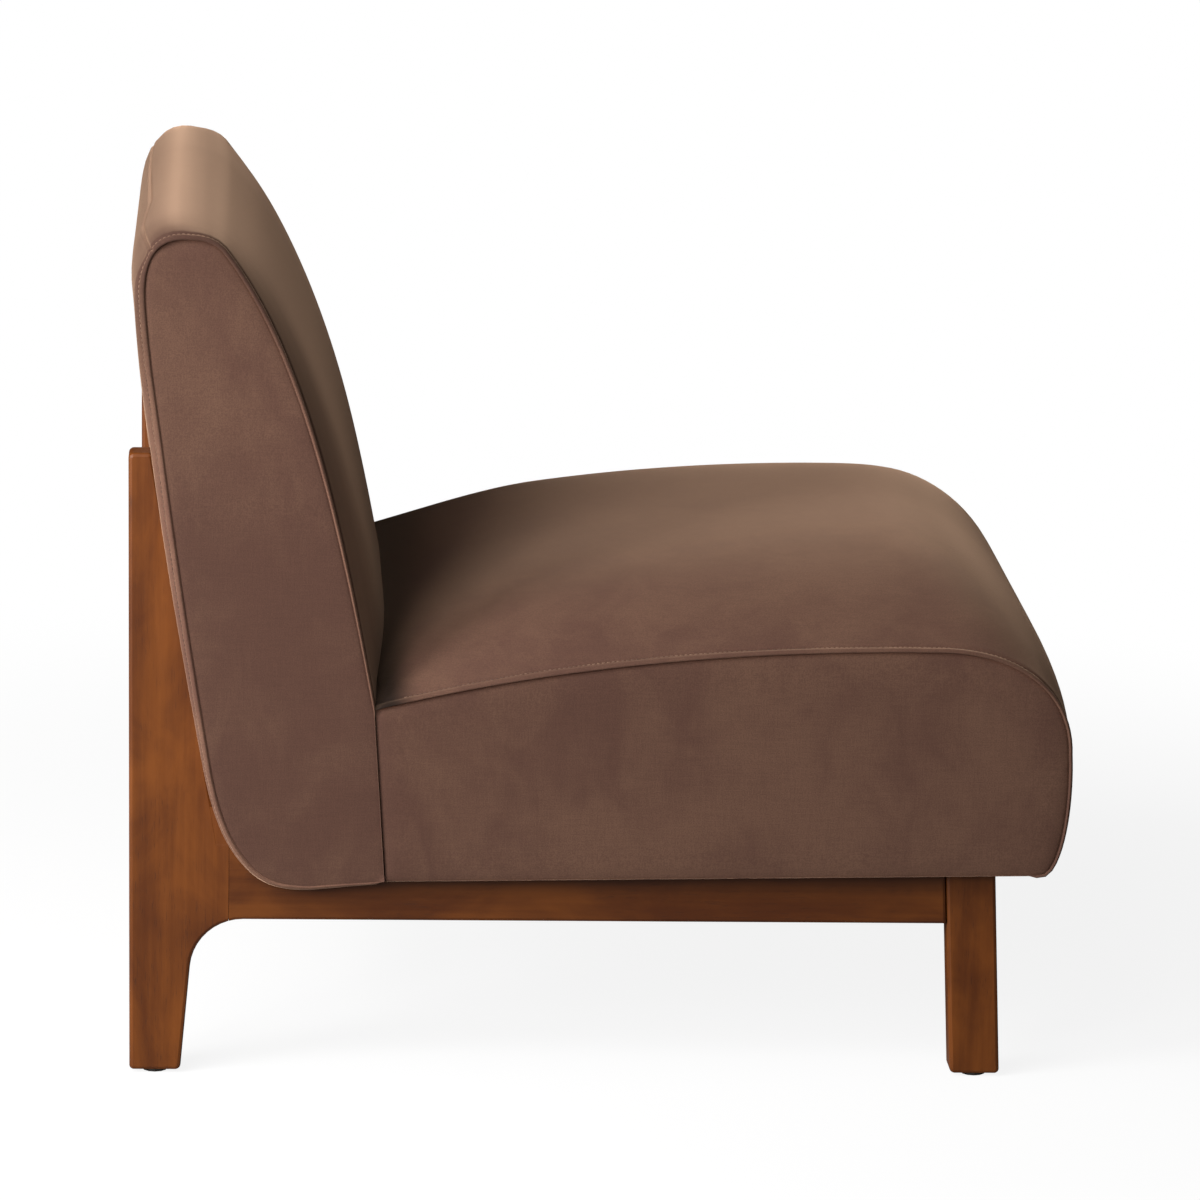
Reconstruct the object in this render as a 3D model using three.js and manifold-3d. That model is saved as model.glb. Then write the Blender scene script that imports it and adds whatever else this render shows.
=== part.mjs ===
// Slipper chair: stained wood side frames, a hidden base, a sprung seat and a tailored velvet cover.
// Millimetres, +X to the front, +Y to the sitter's left, +Z up.
import * as THREE from 'three';
import { mergeVertices } from 'three/addons/utils/BufferGeometryUtils.js';
import Module from 'manifold-3d';

const wasm = await Module();
wasm.setup();

// Clearances and one overrun for every cut
const fitGap = 0.3;
const fillGap = 0.8;
const weldGap = 1e-3;
const overrun = 60;

// Side frames: boards seen from the side, places measured forward from the rear edge of the posts
const boardThickness = 30;
const boardInset = 15;
const boardEdgeRadius = 3;
const postHeight = 547;
const postTopDepth = 17;
const postRearLean = 3.3;
const postShoulderDepth = 76;
const postReach = 85;
const heelDepth = 44;
const shinDepth = 55.5;
const shinFillet = 46;
const heelRadius = 4;
const toeRadius = 5;
const topRadius = 4.5;
const railUnderside = 136;
const railHeight = 70;
const legDepth = 43.5;
const legPlace = 717;
const legRake = 3;
const endTenonThickness = 10;
const endTenonHeight = 40;
const endTenonLength = 18;

// Cross rails of the base, joined to the side rails by stub tenons
const crossRailThickness = 28;
const crossRailHeight = 56;
const crossTenonThickness = 12;
const crossTenonHeight = 36;
const crossTenonLength = 14;
const crossRailSetback = 12;
const blockLeg = 58;
const blockHeight = 40;
const blockTip = 12;

// Glides
const glideDiameter = 24;
const glideThickness = 2.5;
const glidePinDiameter = 3;
const glidePinLength = 16;

// Upholstered body: outline of the flat sides
const coverWidth = 660;
const coverThickness = 3;
const junctionFootPlace = 219;
const junctionFootHeight = 175;
const creasePlace = 208;
const creaseHeight = 327;
const seatOverhang = 92;
const seatTopHeight = 382;
const noseLength = 115;
const noseHeight = 90;
const hemOverhang = 68;
const hemFrontHeight = 184;
const backTopHeight = 734.5;
const backTopPlace = 48;
const backBrowPlace = 75;
const seamTopPlace = 19;
const backBrowDrop = 9.5;
const shoulderPlace = 9;
const shoulderDrop = 44.5;
const waistPlace = 62;
const waistHeight = 290;
const hemRearPlace = 140;
const hemRearHeight = 172;

// Swell of the body between its flat sides
const seatCrown = 68.5;
const seatCrownAtCrease = 52.5;
const seatCrownAtNose = 69;
const noseSwell = 21.5;
const frontBow = 13.5;
const frontBowAtNose = 6.5;
const backSwell = 16;
const backSwellAtCrease = 20;
const browSwell = 5;
const crownSwell = 3.5;
const backTopCrown = 9.5;
const topRollSwell = 15;
const shoulderSwell = 12;
const rearSwell = 11.5;
const waistSwell = 2;

// Inner frame of the body
const dustCoverThickness = 1;
const dustCoverMargin = 3;
const dustCoverSetback = 16;
const seatRailHeight = 82;
const seatRailThickness = 28;
const frontRailDrop = 15;
const legClearance = 6;
const rearRailSetback = 3;
const rearRailHeight = 62;
const ladderDepth = 40;
const ladderHeadroom = 30;
const ladderRailHeight = 55;
const ladderRailThickness = 26;
const webWidth = 60;
const webThickness = 2.5;

// Suspension
const wireDiameter = 3.6;
const springReach = 46;
const springPitch = 44;
const springRise = 12;
const springMarginWidth = 90;
const springCount = 4;
const clipThickness = 1.4;
const clipWidth = 16;
const clipTail = 12;
const clipSetback = 9;
const padThickness = 3;

// Fixings
const screwDiameter = 6;
const screwHeadDiameter = 13;
const screwHeadHeight = 4.5;
const screwBite = 42;
const screwMargin = 60;
const counterboreDiameter = 16;
const counterboreDepth = 34;
const dowelDiameter = 10;
const dowelHeight = 430;
const dowelInPost = 18;
const dowelInFrame = 24;

// Shares, chosen by hand: control points of each outline curve along its run and its rise
const straightShares = [[1 / 3, 1 / 3], [2 / 3, 2 / 3]];
const hemFrontShares = [[0.875, -0.04], [1.125, 0.61]];
const noseShares = [[0, 0.6], [0.383, 1]];
const seatTopShares = [[0.362, -0.024], [0.695, 0.309]];
const backFrontShares = [[0.21, 0.36], [0.45, 0.766]];
const browShares = [[0.222, 0.7], [0.556, 1.03]];
const shoulderShares = [[0.65, -0.05], [0.98, 0.28]];
const backRearShares = [[0, 0.125], [0.68, 0.725]];
const hemRearShares = [[0.1, 0.42], [0.295, 1]];
const screwPlaceShares = [0.2, 0.8];
const webPlaceShares = [0.3, 0.55, 0.8];
const middleRailShare = 0.28;
const barShare = 0.3;
const bendShare = 0.5;
const screwCrownShare = 0.7;

// How fast the swell comes in from the flat sides at each corner: a high power gives a tight roll
const hemRoll = 6;
const noseFootRoll = 9.5;
const noseTopRoll = 3.2;
const seatCreaseRoll = 4.6;
const backCreaseRoll = 3.6;
const browRoll = 11.5;
const topRoll = 11;
const shoulderRoll = 16;
const waistRoll = 14.5;
const widthStations = 14;
const seatFacets = [3, 5, 7, 7, 3];
const backFacets = [3, 9, 3, 5, 6, 5, 2];

// Worked out from the sizes above
const seatFrontPlace = legPlace + seatOverhang;
const hemFrontPlace = legPlace + hemOverhang;
const halfCover = coverWidth / 2;
const boardOuter = halfCover - boardInset;
const boardInner = boardOuter - boardThickness;
const boardMiddle = (boardInner + boardOuter) / 2;
const railTop = railUnderside + railHeight;
const rakeSlope = Math.tan(THREE.MathUtils.degToRad(legRake));
const bodyFloor = railTop + fitGap;
const frameFloor = bodyFloor + dustCoverThickness + fitGap;
const frameTop = frameFloor + seatRailHeight;
const frameOuter = boardOuter;
const frameInner = frameOuter - seatRailThickness;

// Materials
function material(color, roughness, metalness = 0) {
  return new THREE.MeshStandardMaterial({ color, roughness, metalness });
}

const stainedWood = material(0x7a4c28, 0.45);
const plainWood = material(0xc9a878, 0.7);
const velvet = material(0x6e5343, 0.9);
const springSteel = material(0x6b6e72, 0.4, 0.9);
const zincSteel = material(0xb4b8bb, 0.35, 0.9);
const nylon = material(0x2c2622, 0.6);
const foam = material(0xe6dcb4, 0.95);
const felt = material(0x8f8b84, 1);
const webbing = material(0xd8d2c4, 0.9);
const liningCloth = material(0x191919, 0.95);

// Solids: joined and cut as closed bodies, kept as plain geometry everywhere else
function toSolid(geometry) {
  const bare = geometry.clone();
  bare.deleteAttribute('normal');
  bare.deleteAttribute('uv');
  const merged = mergeVertices(bare, weldGap);
  const corners = merged.index.array;
  const kept = [];
  for (let i = 0; i < corners.length; i += 3) {
    const [a, b, c] = [corners[i], corners[i + 1], corners[i + 2]];
    if (a !== b && b !== c && c !== a) kept.push(a, b, c);
  }
  const mesh = new wasm.Mesh({
    numProp: 3,
    vertProperties: new Float32Array(merged.attributes.position.array),
    triVerts: new Uint32Array(kept),
  });
  return new wasm.Manifold(mesh);
}

function toGeometry(solid) {
  const mesh = solid.getMesh();
  const geometry = new THREE.BufferGeometry();
  geometry.setAttribute('position', new THREE.BufferAttribute(new Float32Array(mesh.vertProperties), 3));
  geometry.setIndex(new THREE.BufferAttribute(new Uint32Array(mesh.triVerts), 1));
  geometry.computeVertexNormals();
  return geometry;
}

function cut(geometry, ...cutters) {
  let solid = toSolid(geometry);
  for (const cutter of cutters) {
    solid = solid.subtract(toSolid(cutter));
  }
  return toGeometry(solid);
}

function join(geometry, ...others) {
  let solid = toSolid(geometry);
  for (const other of others) {
    solid = solid.add(toSolid(other));
  }
  return toGeometry(solid);
}

function common(geometry, other) {
  return toGeometry(toSolid(geometry).intersect(toSolid(other)));
}

// The same body on the other side of the middle plane
function mirrored(geometry) {
  const copy = geometry.index ? geometry.clone() : mergeVertices(geometry.clone());
  const places = copy.attributes.position;
  const order = copy.index;
  for (let i = 0; i < places.count; i += 1) {
    places.setY(i, -places.getY(i));
  }
  for (let i = 0; i < order.count; i += 3) {
    const second = order.getX(i + 1);
    order.setX(i + 1, order.getX(i + 2));
    order.setX(i + 2, second);
  }
  copy.computeVertexNormals();
  return copy;
}

// A block between two corners
function block(x0, x1, y0, y1, z0, z1) {
  const box = new THREE.BoxGeometry(x1 - x0, y1 - y0, z1 - z0);
  return box.translate((x0 + x1) / 2, (y0 + y1) / 2, (z0 + z1) / 2);
}

// A side outline carried straight across from y0 to y1
function prism(shape, y0, y1) {
  const settings = { depth: y1 - y0, bevelEnabled: false, curveSegments: 8 };
  return new THREE.ExtrudeGeometry(shape, settings).rotateX(Math.PI / 2).translate(0, y1, 0);
}

// A side outline as a board with rounded edges
function board(shape, y0, y1, edgeRadius) {
  const geometry = new THREE.ExtrudeGeometry(shape, {
    depth: y1 - y0 - 2 * edgeRadius,
    bevelThickness: edgeRadius,
    bevelSize: edgeRadius,
    bevelOffset: -edgeRadius,
    bevelSegments: 2,
    curveSegments: 5,
  });
  return geometry.rotateX(Math.PI / 2).translate(0, y1 - edgeRadius, 0);
}

// A round bar along Z, its lower end at the origin
function upright(diameter, length, sides = 10) {
  return new THREE.CylinderGeometry(diameter / 2, diameter / 2, length, sides)
    .rotateX(Math.PI / 2)
    .translate(0, 0, length / 2);
}

// An outline from corners [x, z, radius], each rounded by a true arc
function roundedShape(corners) {
  const shape = new THREE.Shape();
  const count = corners.length;
  for (let i = 0; i < count; i += 1) {
    const here = new THREE.Vector2(corners[i][0], corners[i][1]);
    const before = corners[(i + count - 1) % count];
    const after = corners[(i + 1) % count];
    const back = new THREE.Vector2(before[0], before[1]).sub(here).normalize();
    const ahead = new THREE.Vector2(after[0], after[1]).sub(here).normalize();
    const radius = corners[i][2] ?? 0;
    if (radius === 0) {
      if (i === 0) shape.moveTo(here.x, here.y);
      else shape.lineTo(here.x, here.y);
      continue;
    }
    const half = Math.acos(THREE.MathUtils.clamp(back.dot(ahead), -1, 1)) / 2;
    const start = here.clone().addScaledVector(back, radius / Math.tan(half));
    const inward = back.clone().add(ahead).normalize();
    const centre = here.clone().addScaledVector(inward, radius / Math.sin(half));
    const end = here.clone().addScaledVector(ahead, radius / Math.tan(half));
    const from = Math.atan2(start.y - centre.y, start.x - centre.x);
    const to = Math.atan2(end.y - centre.y, end.x - centre.x);
    const turnsLeft = back.x * ahead.y - back.y * ahead.x < 0;
    if (i === 0) shape.moveTo(start.x, start.y);
    else shape.lineTo(start.x, start.y);
    shape.absarc(centre.x, centre.y, radius, from, to, !turnsLeft);
  }
  return shape;
}

// Side frames
function postFront(z) {
  const rise = (z - railTop) / (postHeight - railTop);
  return postShoulderDepth + (postTopDepth - postShoulderDepth) * rise;
}

function legRear(z) {
  return legPlace - rakeSlope * z;
}

// Post and rail are cut from one outline, so the fillet under the rail runs through both
function postAndRailShape() {
  return roundedShape([
    [0, 0, heelRadius],
    [heelDepth, 0, toeRadius],
    [shinDepth, railUnderside, shinFillet],
    [legRear(railUnderside) - fitGap, railUnderside],
    [legRear(railTop) - fitGap, railTop],
    [postFront(railTop), railTop],
    [postTopDepth, postHeight, topRadius],
    [-postRearLean, postHeight, topRadius],
  ]);
}

function endTenon(x0, x1, clearance) {
  const halfThickness = endTenonThickness / 2 + clearance;
  const halfHeight = endTenonHeight / 2 + clearance;
  const height = railUnderside + railHeight / 2;
  return block(x0, x1, boardMiddle - halfThickness, boardMiddle + halfThickness,
    height - halfHeight, height + halfHeight);
}

function crossRailX(place) {
  const rear = postReach + endTenonLength + crossRailSetback;
  const front = legRear(railTop) - endTenonLength - crossRailSetback - crossRailThickness;
  return place === 'rear' ? rear : front;
}

function crossTenon(place, clearance) {
  const middleX = crossRailX(place) + crossRailThickness / 2;
  const middleZ = railTop - crossRailHeight / 2;
  const halfThickness = crossTenonThickness / 2 + clearance;
  const halfHeight = crossTenonHeight / 2 + clearance;
  const tip = boardInner + crossTenonLength + clearance;
  return block(middleX - halfThickness, middleX + halfThickness, -tip, tip,
    middleZ - halfHeight, middleZ + halfHeight);
}

function screwPlaces() {
  const start = postReach + screwMargin;
  const end = legRear(railTop);
  return screwPlaceShares.map((share) => start + (end - start) * share);
}

function screwBore(x) {
  const wide = upright(counterboreDiameter, counterboreDepth + overrun);
  const narrow = upright(screwDiameter + 2 * fitGap, railHeight + overrun);
  return [
    wide.translate(x, boardMiddle, railUnderside - overrun),
    narrow.translate(x, boardMiddle, railUnderside),
  ];
}

function dowelBore() {
  const reach = dowelInPost + dowelInFrame + 2 * fitGap;
  const bore = new THREE.CylinderGeometry(dowelDiameter / 2 + fitGap, dowelDiameter / 2 + fitGap, reach, 10);
  const start = postFront(dowelHeight) - dowelInPost - fitGap;
  return bore.rotateZ(Math.PI / 2).translate(start + reach / 2, boardMiddle, dowelHeight);
}

function glideBore(x) {
  const bore = upright(glidePinDiameter + 2 * fitGap, glidePinLength + fitGap + overrun, 8);
  return bore.translate(x, boardMiddle, -overrun);
}

const rearGlideX = heelDepth / 2;
const frontGlideX = legPlace + legDepth / 2;

function rearPost() {
  const whole = board(postAndRailShape(), boardInner, boardOuter, boardEdgeRadius);
  const keep = block(-overrun, postReach - fitGap / 2, boardInner - overrun, boardOuter + overrun,
    -overrun, postHeight + overrun);
  const mortise = endTenon(postReach - endTenonLength - fitGap, postReach + overrun, fitGap);
  return cut(common(whole, keep), mortise, glideBore(rearGlideX), dowelBore());
}

function sideRail() {
  const whole = board(postAndRailShape(), boardInner, boardOuter, boardEdgeRadius);
  const keep = block(postReach + fitGap / 2, legPlace + overrun, boardInner - overrun, boardOuter + overrun,
    railUnderside - overrun, railTop + overrun);
  const rearTenon = endTenon(postReach - endTenonLength, postReach + endTenonLength, 0);
  const front = legRear(railTop);
  const frontTenon = endTenon(front - endTenonLength, front + endTenonLength, 0);
  const rail = join(common(whole, keep), rearTenon, frontTenon);
  const bores = screwPlaces().flatMap(screwBore);
  return cut(rail, crossTenon('front', fitGap), crossTenon('rear', fitGap), ...bores);
}

function frontLeg() {
  const shape = roundedShape([
    [legRear(0), 0, toeRadius],
    [legRear(0) + legDepth, 0, heelRadius],
    [legRear(railTop) + legDepth, railTop, topRadius],
    [legRear(railTop), railTop],
  ]);
  const whole = board(shape, boardInner, boardOuter, boardEdgeRadius);
  const front = legRear(railTop);
  const mortise = endTenon(front - overrun, front + endTenonLength + fitGap, fitGap);
  return cut(whole, mortise, glideBore(frontGlideX));
}

function crossRail(place) {
  const x0 = crossRailX(place);
  const half = boardInner - fitGap;
  const beam = block(x0, x0 + crossRailThickness, -half, half, railTop - crossRailHeight, railTop);
  return join(beam, crossTenon(place, 0));
}

// A corner block: a triangle in plan with its sharp tips cut off, seated in the corner of two rails
function cornerBlock(place) {
  const side = place === 'rear' ? 1 : -1;
  const face = place === 'rear' ? crossRailX(place) + crossRailThickness : crossRailX(place);
  const shape = new THREE.Shape([
    new THREE.Vector2(0, 0),
    new THREE.Vector2(side * blockLeg, 0),
    new THREE.Vector2(side * blockLeg, -blockTip),
    new THREE.Vector2(side * blockTip, -blockLeg),
    new THREE.Vector2(0, -blockLeg),
  ]);
  const geometry = new THREE.ExtrudeGeometry(shape, { depth: blockHeight, bevelEnabled: false });
  return geometry.translate(face + side * fitGap, boardInner - fitGap, railTop - fitGap - blockHeight);
}

function glide(x) {
  const radius = glideDiameter / 2;
  const pin = glidePinDiameter / 2;
  const rim = glideThickness / 2;
  const profile = [
    [0, 0],
    [radius - rim, 0],
    [radius, rim],
    [radius, glideThickness],
    [pin, glideThickness],
    [pin, glideThickness + glidePinLength - pin],
    [0, glideThickness + glidePinLength],
  ].map(([r, z]) => new THREE.Vector2(r, z));
  const turned = new THREE.LatheGeometry(profile, 12).rotateX(Math.PI / 2);
  return turned.translate(x, boardMiddle, -glideThickness - fitGap);
}

// Body outline: each curve is [from, to, control shares, swell at start, middle and end,
// roll power at start and end]
const junctionFoot = new THREE.Vector2(junctionFootPlace, junctionFootHeight);
const crease = new THREE.Vector2(creasePlace, creaseHeight);
const hemFront = new THREE.Vector2(hemFrontPlace, hemFrontHeight);
const noseFoot = new THREE.Vector2(seatFrontPlace, seatTopHeight - noseHeight);
const noseTop = new THREE.Vector2(seatFrontPlace - noseLength, seatTopHeight);
const brow = new THREE.Vector2(backBrowPlace, backTopHeight - backBrowDrop);
const backTop = new THREE.Vector2(backTopPlace, backTopHeight);
const shoulder = new THREE.Vector2(shoulderPlace, backTopHeight - shoulderDrop);
const waist = new THREE.Vector2(waistPlace, waistHeight);
const hemRear = new THREE.Vector2(hemRearPlace, hemRearHeight);

const seatCurves = [
  [junctionFoot, hemFront, straightShares, [0, 0, 0], [hemRoll, hemRoll]],
  [hemFront, noseFoot, hemFrontShares, [0, frontBow, frontBowAtNose], [hemRoll, noseFootRoll]],
  [noseFoot, noseTop, noseShares, [frontBowAtNose, noseSwell, seatCrownAtNose],
    [noseFootRoll, noseTopRoll]],
  [noseTop, crease, seatTopShares, [seatCrownAtNose, seatCrown, seatCrownAtCrease],
    [noseTopRoll, seatCreaseRoll]],
  [crease, junctionFoot, straightShares, [seatCrownAtCrease, 0, 0],
    [seatCreaseRoll, seatCreaseRoll]],
];

const backCurves = [
  [junctionFoot, crease, straightShares, [0, backSwellAtCrease / 2, backSwellAtCrease],
    [backCreaseRoll, backCreaseRoll]],
  [crease, brow, backFrontShares, [backSwellAtCrease, backSwell, browSwell],
    [backCreaseRoll, browRoll]],
  [brow, backTop, browShares, [browSwell, crownSwell, backTopCrown], [browRoll, topRoll]],
  [backTop, shoulder, shoulderShares, [backTopCrown, topRollSwell, shoulderSwell],
    [topRoll, shoulderRoll]],
  [shoulder, waist, backRearShares, [shoulderSwell, rearSwell, waistSwell],
    [shoulderRoll, waistRoll]],
  [waist, hemRear, hemRearShares, [waistSwell, waistSwell / 2, 0], [waistRoll, waistRoll]],
  [hemRear, junctionFoot, straightShares, [0, 0, 0], [waistRoll, waistRoll]],
];

function through(values, t) {
  const [start, middle, end] = values;
  return start * (1 - t) * (1 - 2 * t) + 4 * middle * t * (1 - t) + end * t * (2 * t - 1);
}

function spanCurve(from, to, shares) {
  const span = to.clone().sub(from);
  const [first, second] = shares.map(([run, rise]) => {
    const step = new THREE.Vector2(span.x * run, span.y * rise);
    return step.add(from);
  });
  return new THREE.CubicBezierCurve(from, first, second, to);
}

// Outline points with their outward normals, swell and roll power
function outlineOf(curves, facets) {
  const points = [];
  curves.forEach(([from, to, shares, swells, [startPower, endPower]], k) => {
    const curve = spanCurve(from, to, shares);
    for (let i = 0; i < facets[k]; i += 1) {
      const t = i / facets[k];
      const power = startPower + (endPower - startPower) * t;
      points.push({ at: curve.getPoint(t), swell: through(swells, t), power });
    }
  });
  const count = points.length;
  points.forEach((point, i) => {
    const along = points[(i + 1) % count].at.clone().sub(points[(i + count - 1) % count].at).normalize();
    point.normal = new THREE.Vector2(along.y, -along.x);
  });
  return points;
}

// A cushion form: the outline swells between the flat sides, and inset shrinks it on every side
function cushionForm(curves, facets, inset) {
  const outline = outlineOf(curves, facets);
  const count = outline.length;
  const places = [];
  const triangles = [];
  for (let j = 0; j <= widthStations; j += 1) {
    const share = -Math.cos((Math.PI * j) / widthStations);
    for (const { at, normal, swell, power } of outline) {
      const out = swell * (1 - Math.abs(share) ** power) - inset;
      places.push(at.x + normal.x * out, share * (halfCover - inset), at.y + normal.y * out);
    }
  }
  for (let j = 0; j < widthStations; j += 1) {
    for (let i = 0; i < count; i += 1) {
      const a = j * count + i;
      const b = j * count + ((i + 1) % count);
      triangles.push(a, a + count, b + count, a, b + count, b);
    }
  }
  const last = widthStations * count;
  for (const stage of [0, last]) {
    const contour = [];
    for (let i = 0; i < count; i += 1) {
      contour.push(new THREE.Vector2(places[3 * (stage + i)], places[3 * (stage + i) + 2]));
    }
    for (const [a, b, c] of THREE.ShapeUtils.triangulateShape(contour, [])) {
      if (stage === 0) triangles.push(a, b, c);
      else triangles.push(last + a, last + c, last + b);
    }
  }
  const geometry = new THREE.BufferGeometry();
  geometry.setAttribute('position', new THREE.Float32BufferAttribute(places, 3));
  geometry.setIndex(triangles);
  return geometry;
}

function seatForm(inset) {
  return cushionForm(seatCurves, seatFacets, inset);
}

function backForm(inset) {
  return cushionForm(backCurves, backFacets, inset);
}

const chairRear = -overrun;
const chairFront = seatFrontPlace + overrun;
const chairTop = backTopHeight + overrun;

// Room that the base and the frame take inside the body, from the floor to the body's underside
function underside(height) {
  const limit = legRear(railUnderside) + legDepth + legClearance / 2;
  return block(chairRear, limit, -frameOuter - fitGap, frameOuter + fitGap, -overrun, height);
}

// Line of the back ladder: parallel to the front edge of the outer posts
const lean = Math.atan((postShoulderDepth - postTopDepth) / (postHeight - railTop));

function ladderPoint(across, along) {
  const foot = postFront(frameFloor) + (coverThickness + 2 * fitGap) / Math.cos(lean);
  return new THREE.Vector2(
    foot + across * Math.cos(lean) - along * Math.sin(lean),
    frameFloor + across * Math.sin(lean) + along * Math.cos(lean),
  );
}

const ladderLength = (backTopHeight - ladderHeadroom - frameFloor) / Math.cos(lean);

// A leaning bar between two heights along the ladder, square to it
function ladderBar(across0, across1, along0, along1, y0, y1) {
  const shape = new THREE.Shape([
    ladderPoint(across0, along0),
    ladderPoint(across1, along0),
    ladderPoint(across1, along1),
    ladderPoint(across0, along1),
  ]);
  return prism(shape, y0, y1);
}

// The inside of the back's cover, where the ladder and the foam have to fit
function backInside() {
  return backForm(coverThickness + fillGap);
}

function backPost() {
  const bar = ladderBar(0, ladderDepth, -overrun, ladderLength, frameInner, frameOuter);
  const below = block(chairRear, chairFront, 0, halfCover, -overrun, frameFloor);
  return cut(common(bar, backInside()), below, dowelBore());
}

function ladderRail(along) {
  const half = frameInner - fitGap;
  const start = ladderDepth - ladderRailThickness;
  const rail = ladderBar(start, ladderDepth, along, along + ladderRailHeight, -half, half);
  const below = block(chairRear, chairFront, -halfCover, halfCover, -overrun, frameFloor);
  return cut(common(rail, backInside()), below);
}

function backWeb(share) {
  const start = ladderLength * share;
  const front = ladderDepth + fitGap;
  return ladderBar(front, front + webThickness, start, start + webWidth, -frameOuter, frameOuter);
}

// Seat box of the body
const frontRailX = legRear(railUnderside) + legDepth + legClearance;
const rearRailX = junctionFootPlace + backSwellAtCrease + rearRailSetback;
const ladderFrontAtFloor = ladderPoint(ladderDepth, 0).x;

function seatSideRail() {
  const slope = Math.tan(lean);
  const start = ladderFrontAtFloor + fitGap / Math.cos(lean) + slope * ladderDepth * Math.sin(lean);
  const shape = new THREE.Shape([
    new THREE.Vector2(start, frameFloor),
    new THREE.Vector2(frontRailX - fitGap, frameFloor),
    new THREE.Vector2(frontRailX - fitGap, frameTop),
    new THREE.Vector2(start - slope * seatRailHeight, frameTop),
  ]);
  const bores = screwPlaces().map((x) => {
    const bore = upright(screwDiameter + 2 * fitGap, screwBite + overrun);
    return bore.translate(x, boardMiddle, frameFloor - overrun);
  });
  return cut(prism(shape, frameInner, frameOuter), ...bores);
}

function seatFrontRail() {
  const front = frontRailX + seatRailThickness;
  return block(frontRailX, front, -frameOuter, frameOuter, railTop - frontRailDrop, frameTop);
}

function seatRearRail() {
  const half = frameInner - fitGap;
  return block(rearRailX, rearRailX + seatRailThickness, -half, half, frameTop - rearRailHeight, frameTop);
}

// Springs: flat bars joined by round bends, arched from rear to front
const springRear = rearRailX + clipSetback;
const springFront = frontRailX + seatRailThickness - clipSetback - clipTail / 2;
const springBase = frameTop + fitGap + clipThickness + fitGap + wireDiameter / 2;

function archAt(x) {
  const t = THREE.MathUtils.clamp((x - springRear) / (springFront - springRear), 0, 1);
  return springRise * 4 * t * (1 - t);
}

function springWire(y) {
  const gaps = Math.max(2, Math.round((springFront - springRear) / springPitch));
  const pitch = (springFront - springRear) / gaps;
  const points = [];
  for (let i = 0; i <= gaps; i += 1) {
    const x = springRear + pitch * i;
    const side = i % 2 === 0 ? 1 : -1;
    const z = springBase + archAt(x);
    points.push(new THREE.Vector3(x, y - side * springReach * barShare, z));
    points.push(new THREE.Vector3(x, y + side * springReach * barShare, z));
    if (i < gaps) {
      const between = x + pitch / 2;
      const bend = y + side * springReach * bendShare;
      points.push(new THREE.Vector3(between, bend, springBase + archAt(between)));
    }
  }
  const path = new THREE.CatmullRomCurve3(points, false, 'catmullrom', 0.6);
  const section = new THREE.Shape();
  section.absarc(0, 0, wireDiameter / 2, 0, 2 * Math.PI);
  const steps = 2 * (points.length - 1);
  return new THREE.ExtrudeGeometry(section, { steps, extrudePath: path, curveSegments: 3 });
}

// A clip: a flat tail on the rail that curls over the spring's end bar from the middle of the seat
function springClip(x, y, outward) {
  const inner = wireDiameter / 2 + fitGap;
  const outer = inner + clipThickness;
  const shape = new THREE.Shape();
  shape.moveTo(clipTail, -outer);
  shape.absarc(0, 0, outer, -Math.PI / 2, Math.PI / 3, true);
  shape.absarc(0, 0, inner, Math.PI / 3, -Math.PI / 2, false);
  shape.lineTo(clipTail, -inner);
  const bent = new THREE.ExtrudeGeometry(shape, { depth: clipWidth, bevelEnabled: false, curveSegments: 6 });
  bent.rotateX(Math.PI / 2).translate(0, clipWidth / 2, 0);
  if (!outward) bent.rotateZ(Math.PI);
  return bent.translate(x, y, springBase);
}

function springPlaces() {
  const reach = frameInner - springMarginWidth;
  const places = [];
  for (let i = 0; i < springCount; i += 1) {
    places.push(-reach + (2 * reach * i) / (springCount - 1));
  }
  return places;
}

// Felt over the springs and the room below it that the foam keeps clear
function archedShape(low, thickness, rear, front, deep) {
  const middle = (springRear + springFront) / 2;
  const lower = springBase + wireDiameter / 2 + fitGap + clipThickness + low;
  const upper = lower + thickness;
  const shape = new THREE.Shape();
  if (deep) {
    shape.moveTo(rear, -overrun);
    shape.lineTo(front, -overrun);
    shape.lineTo(front, upper);
  } else {
    shape.moveTo(rear, lower);
    shape.lineTo(springRear, lower);
    shape.quadraticCurveTo(middle, lower + 2 * springRise, springFront, lower);
    shape.lineTo(front, lower);
    shape.lineTo(front, upper);
  }
  shape.lineTo(springFront, upper);
  shape.quadraticCurveTo(middle, upper + 2 * springRise, springRear, upper);
  shape.lineTo(rear, upper);
  return shape;
}

const padFront = frontRailX + seatRailThickness;

function springPad() {
  return prism(archedShape(fitGap, padThickness, rearRailX, padFront, false), -frameInner, frameInner);
}

function springRoom() {
  const clear = padThickness + 2 * fitGap;
  const half = frameOuter + fitGap;
  return prism(archedShape(0, clear, chairRear, padFront + fitGap, true), -half, half);
}

function ladderRoom() {
  const front = ladderDepth + webThickness + 2 * fitGap;
  const top = ladderLength + fitGap;
  return ladderBar(-chairTop, front, -overrun, top, -frameOuter - fitGap, frameOuter + fitGap);
}

// Cover: each shell is the body between its outer form and its inner form
function centralSlab() {
  const half = halfCover - coverThickness - fitGap / 2;
  return block(chairRear, chairFront, -half, half, -overrun, chairTop);
}

function sideSlab() {
  const start = halfCover - coverThickness + fitGap / 2;
  return block(chairRear, chairFront, start, halfCover + overrun, -overrun, chairTop);
}

const seatShell = cut(seatForm(0), seatForm(coverThickness));
const backShell = cut(backForm(0), backForm(coverThickness));
const backKeepOut = backForm(-fitGap);

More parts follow.
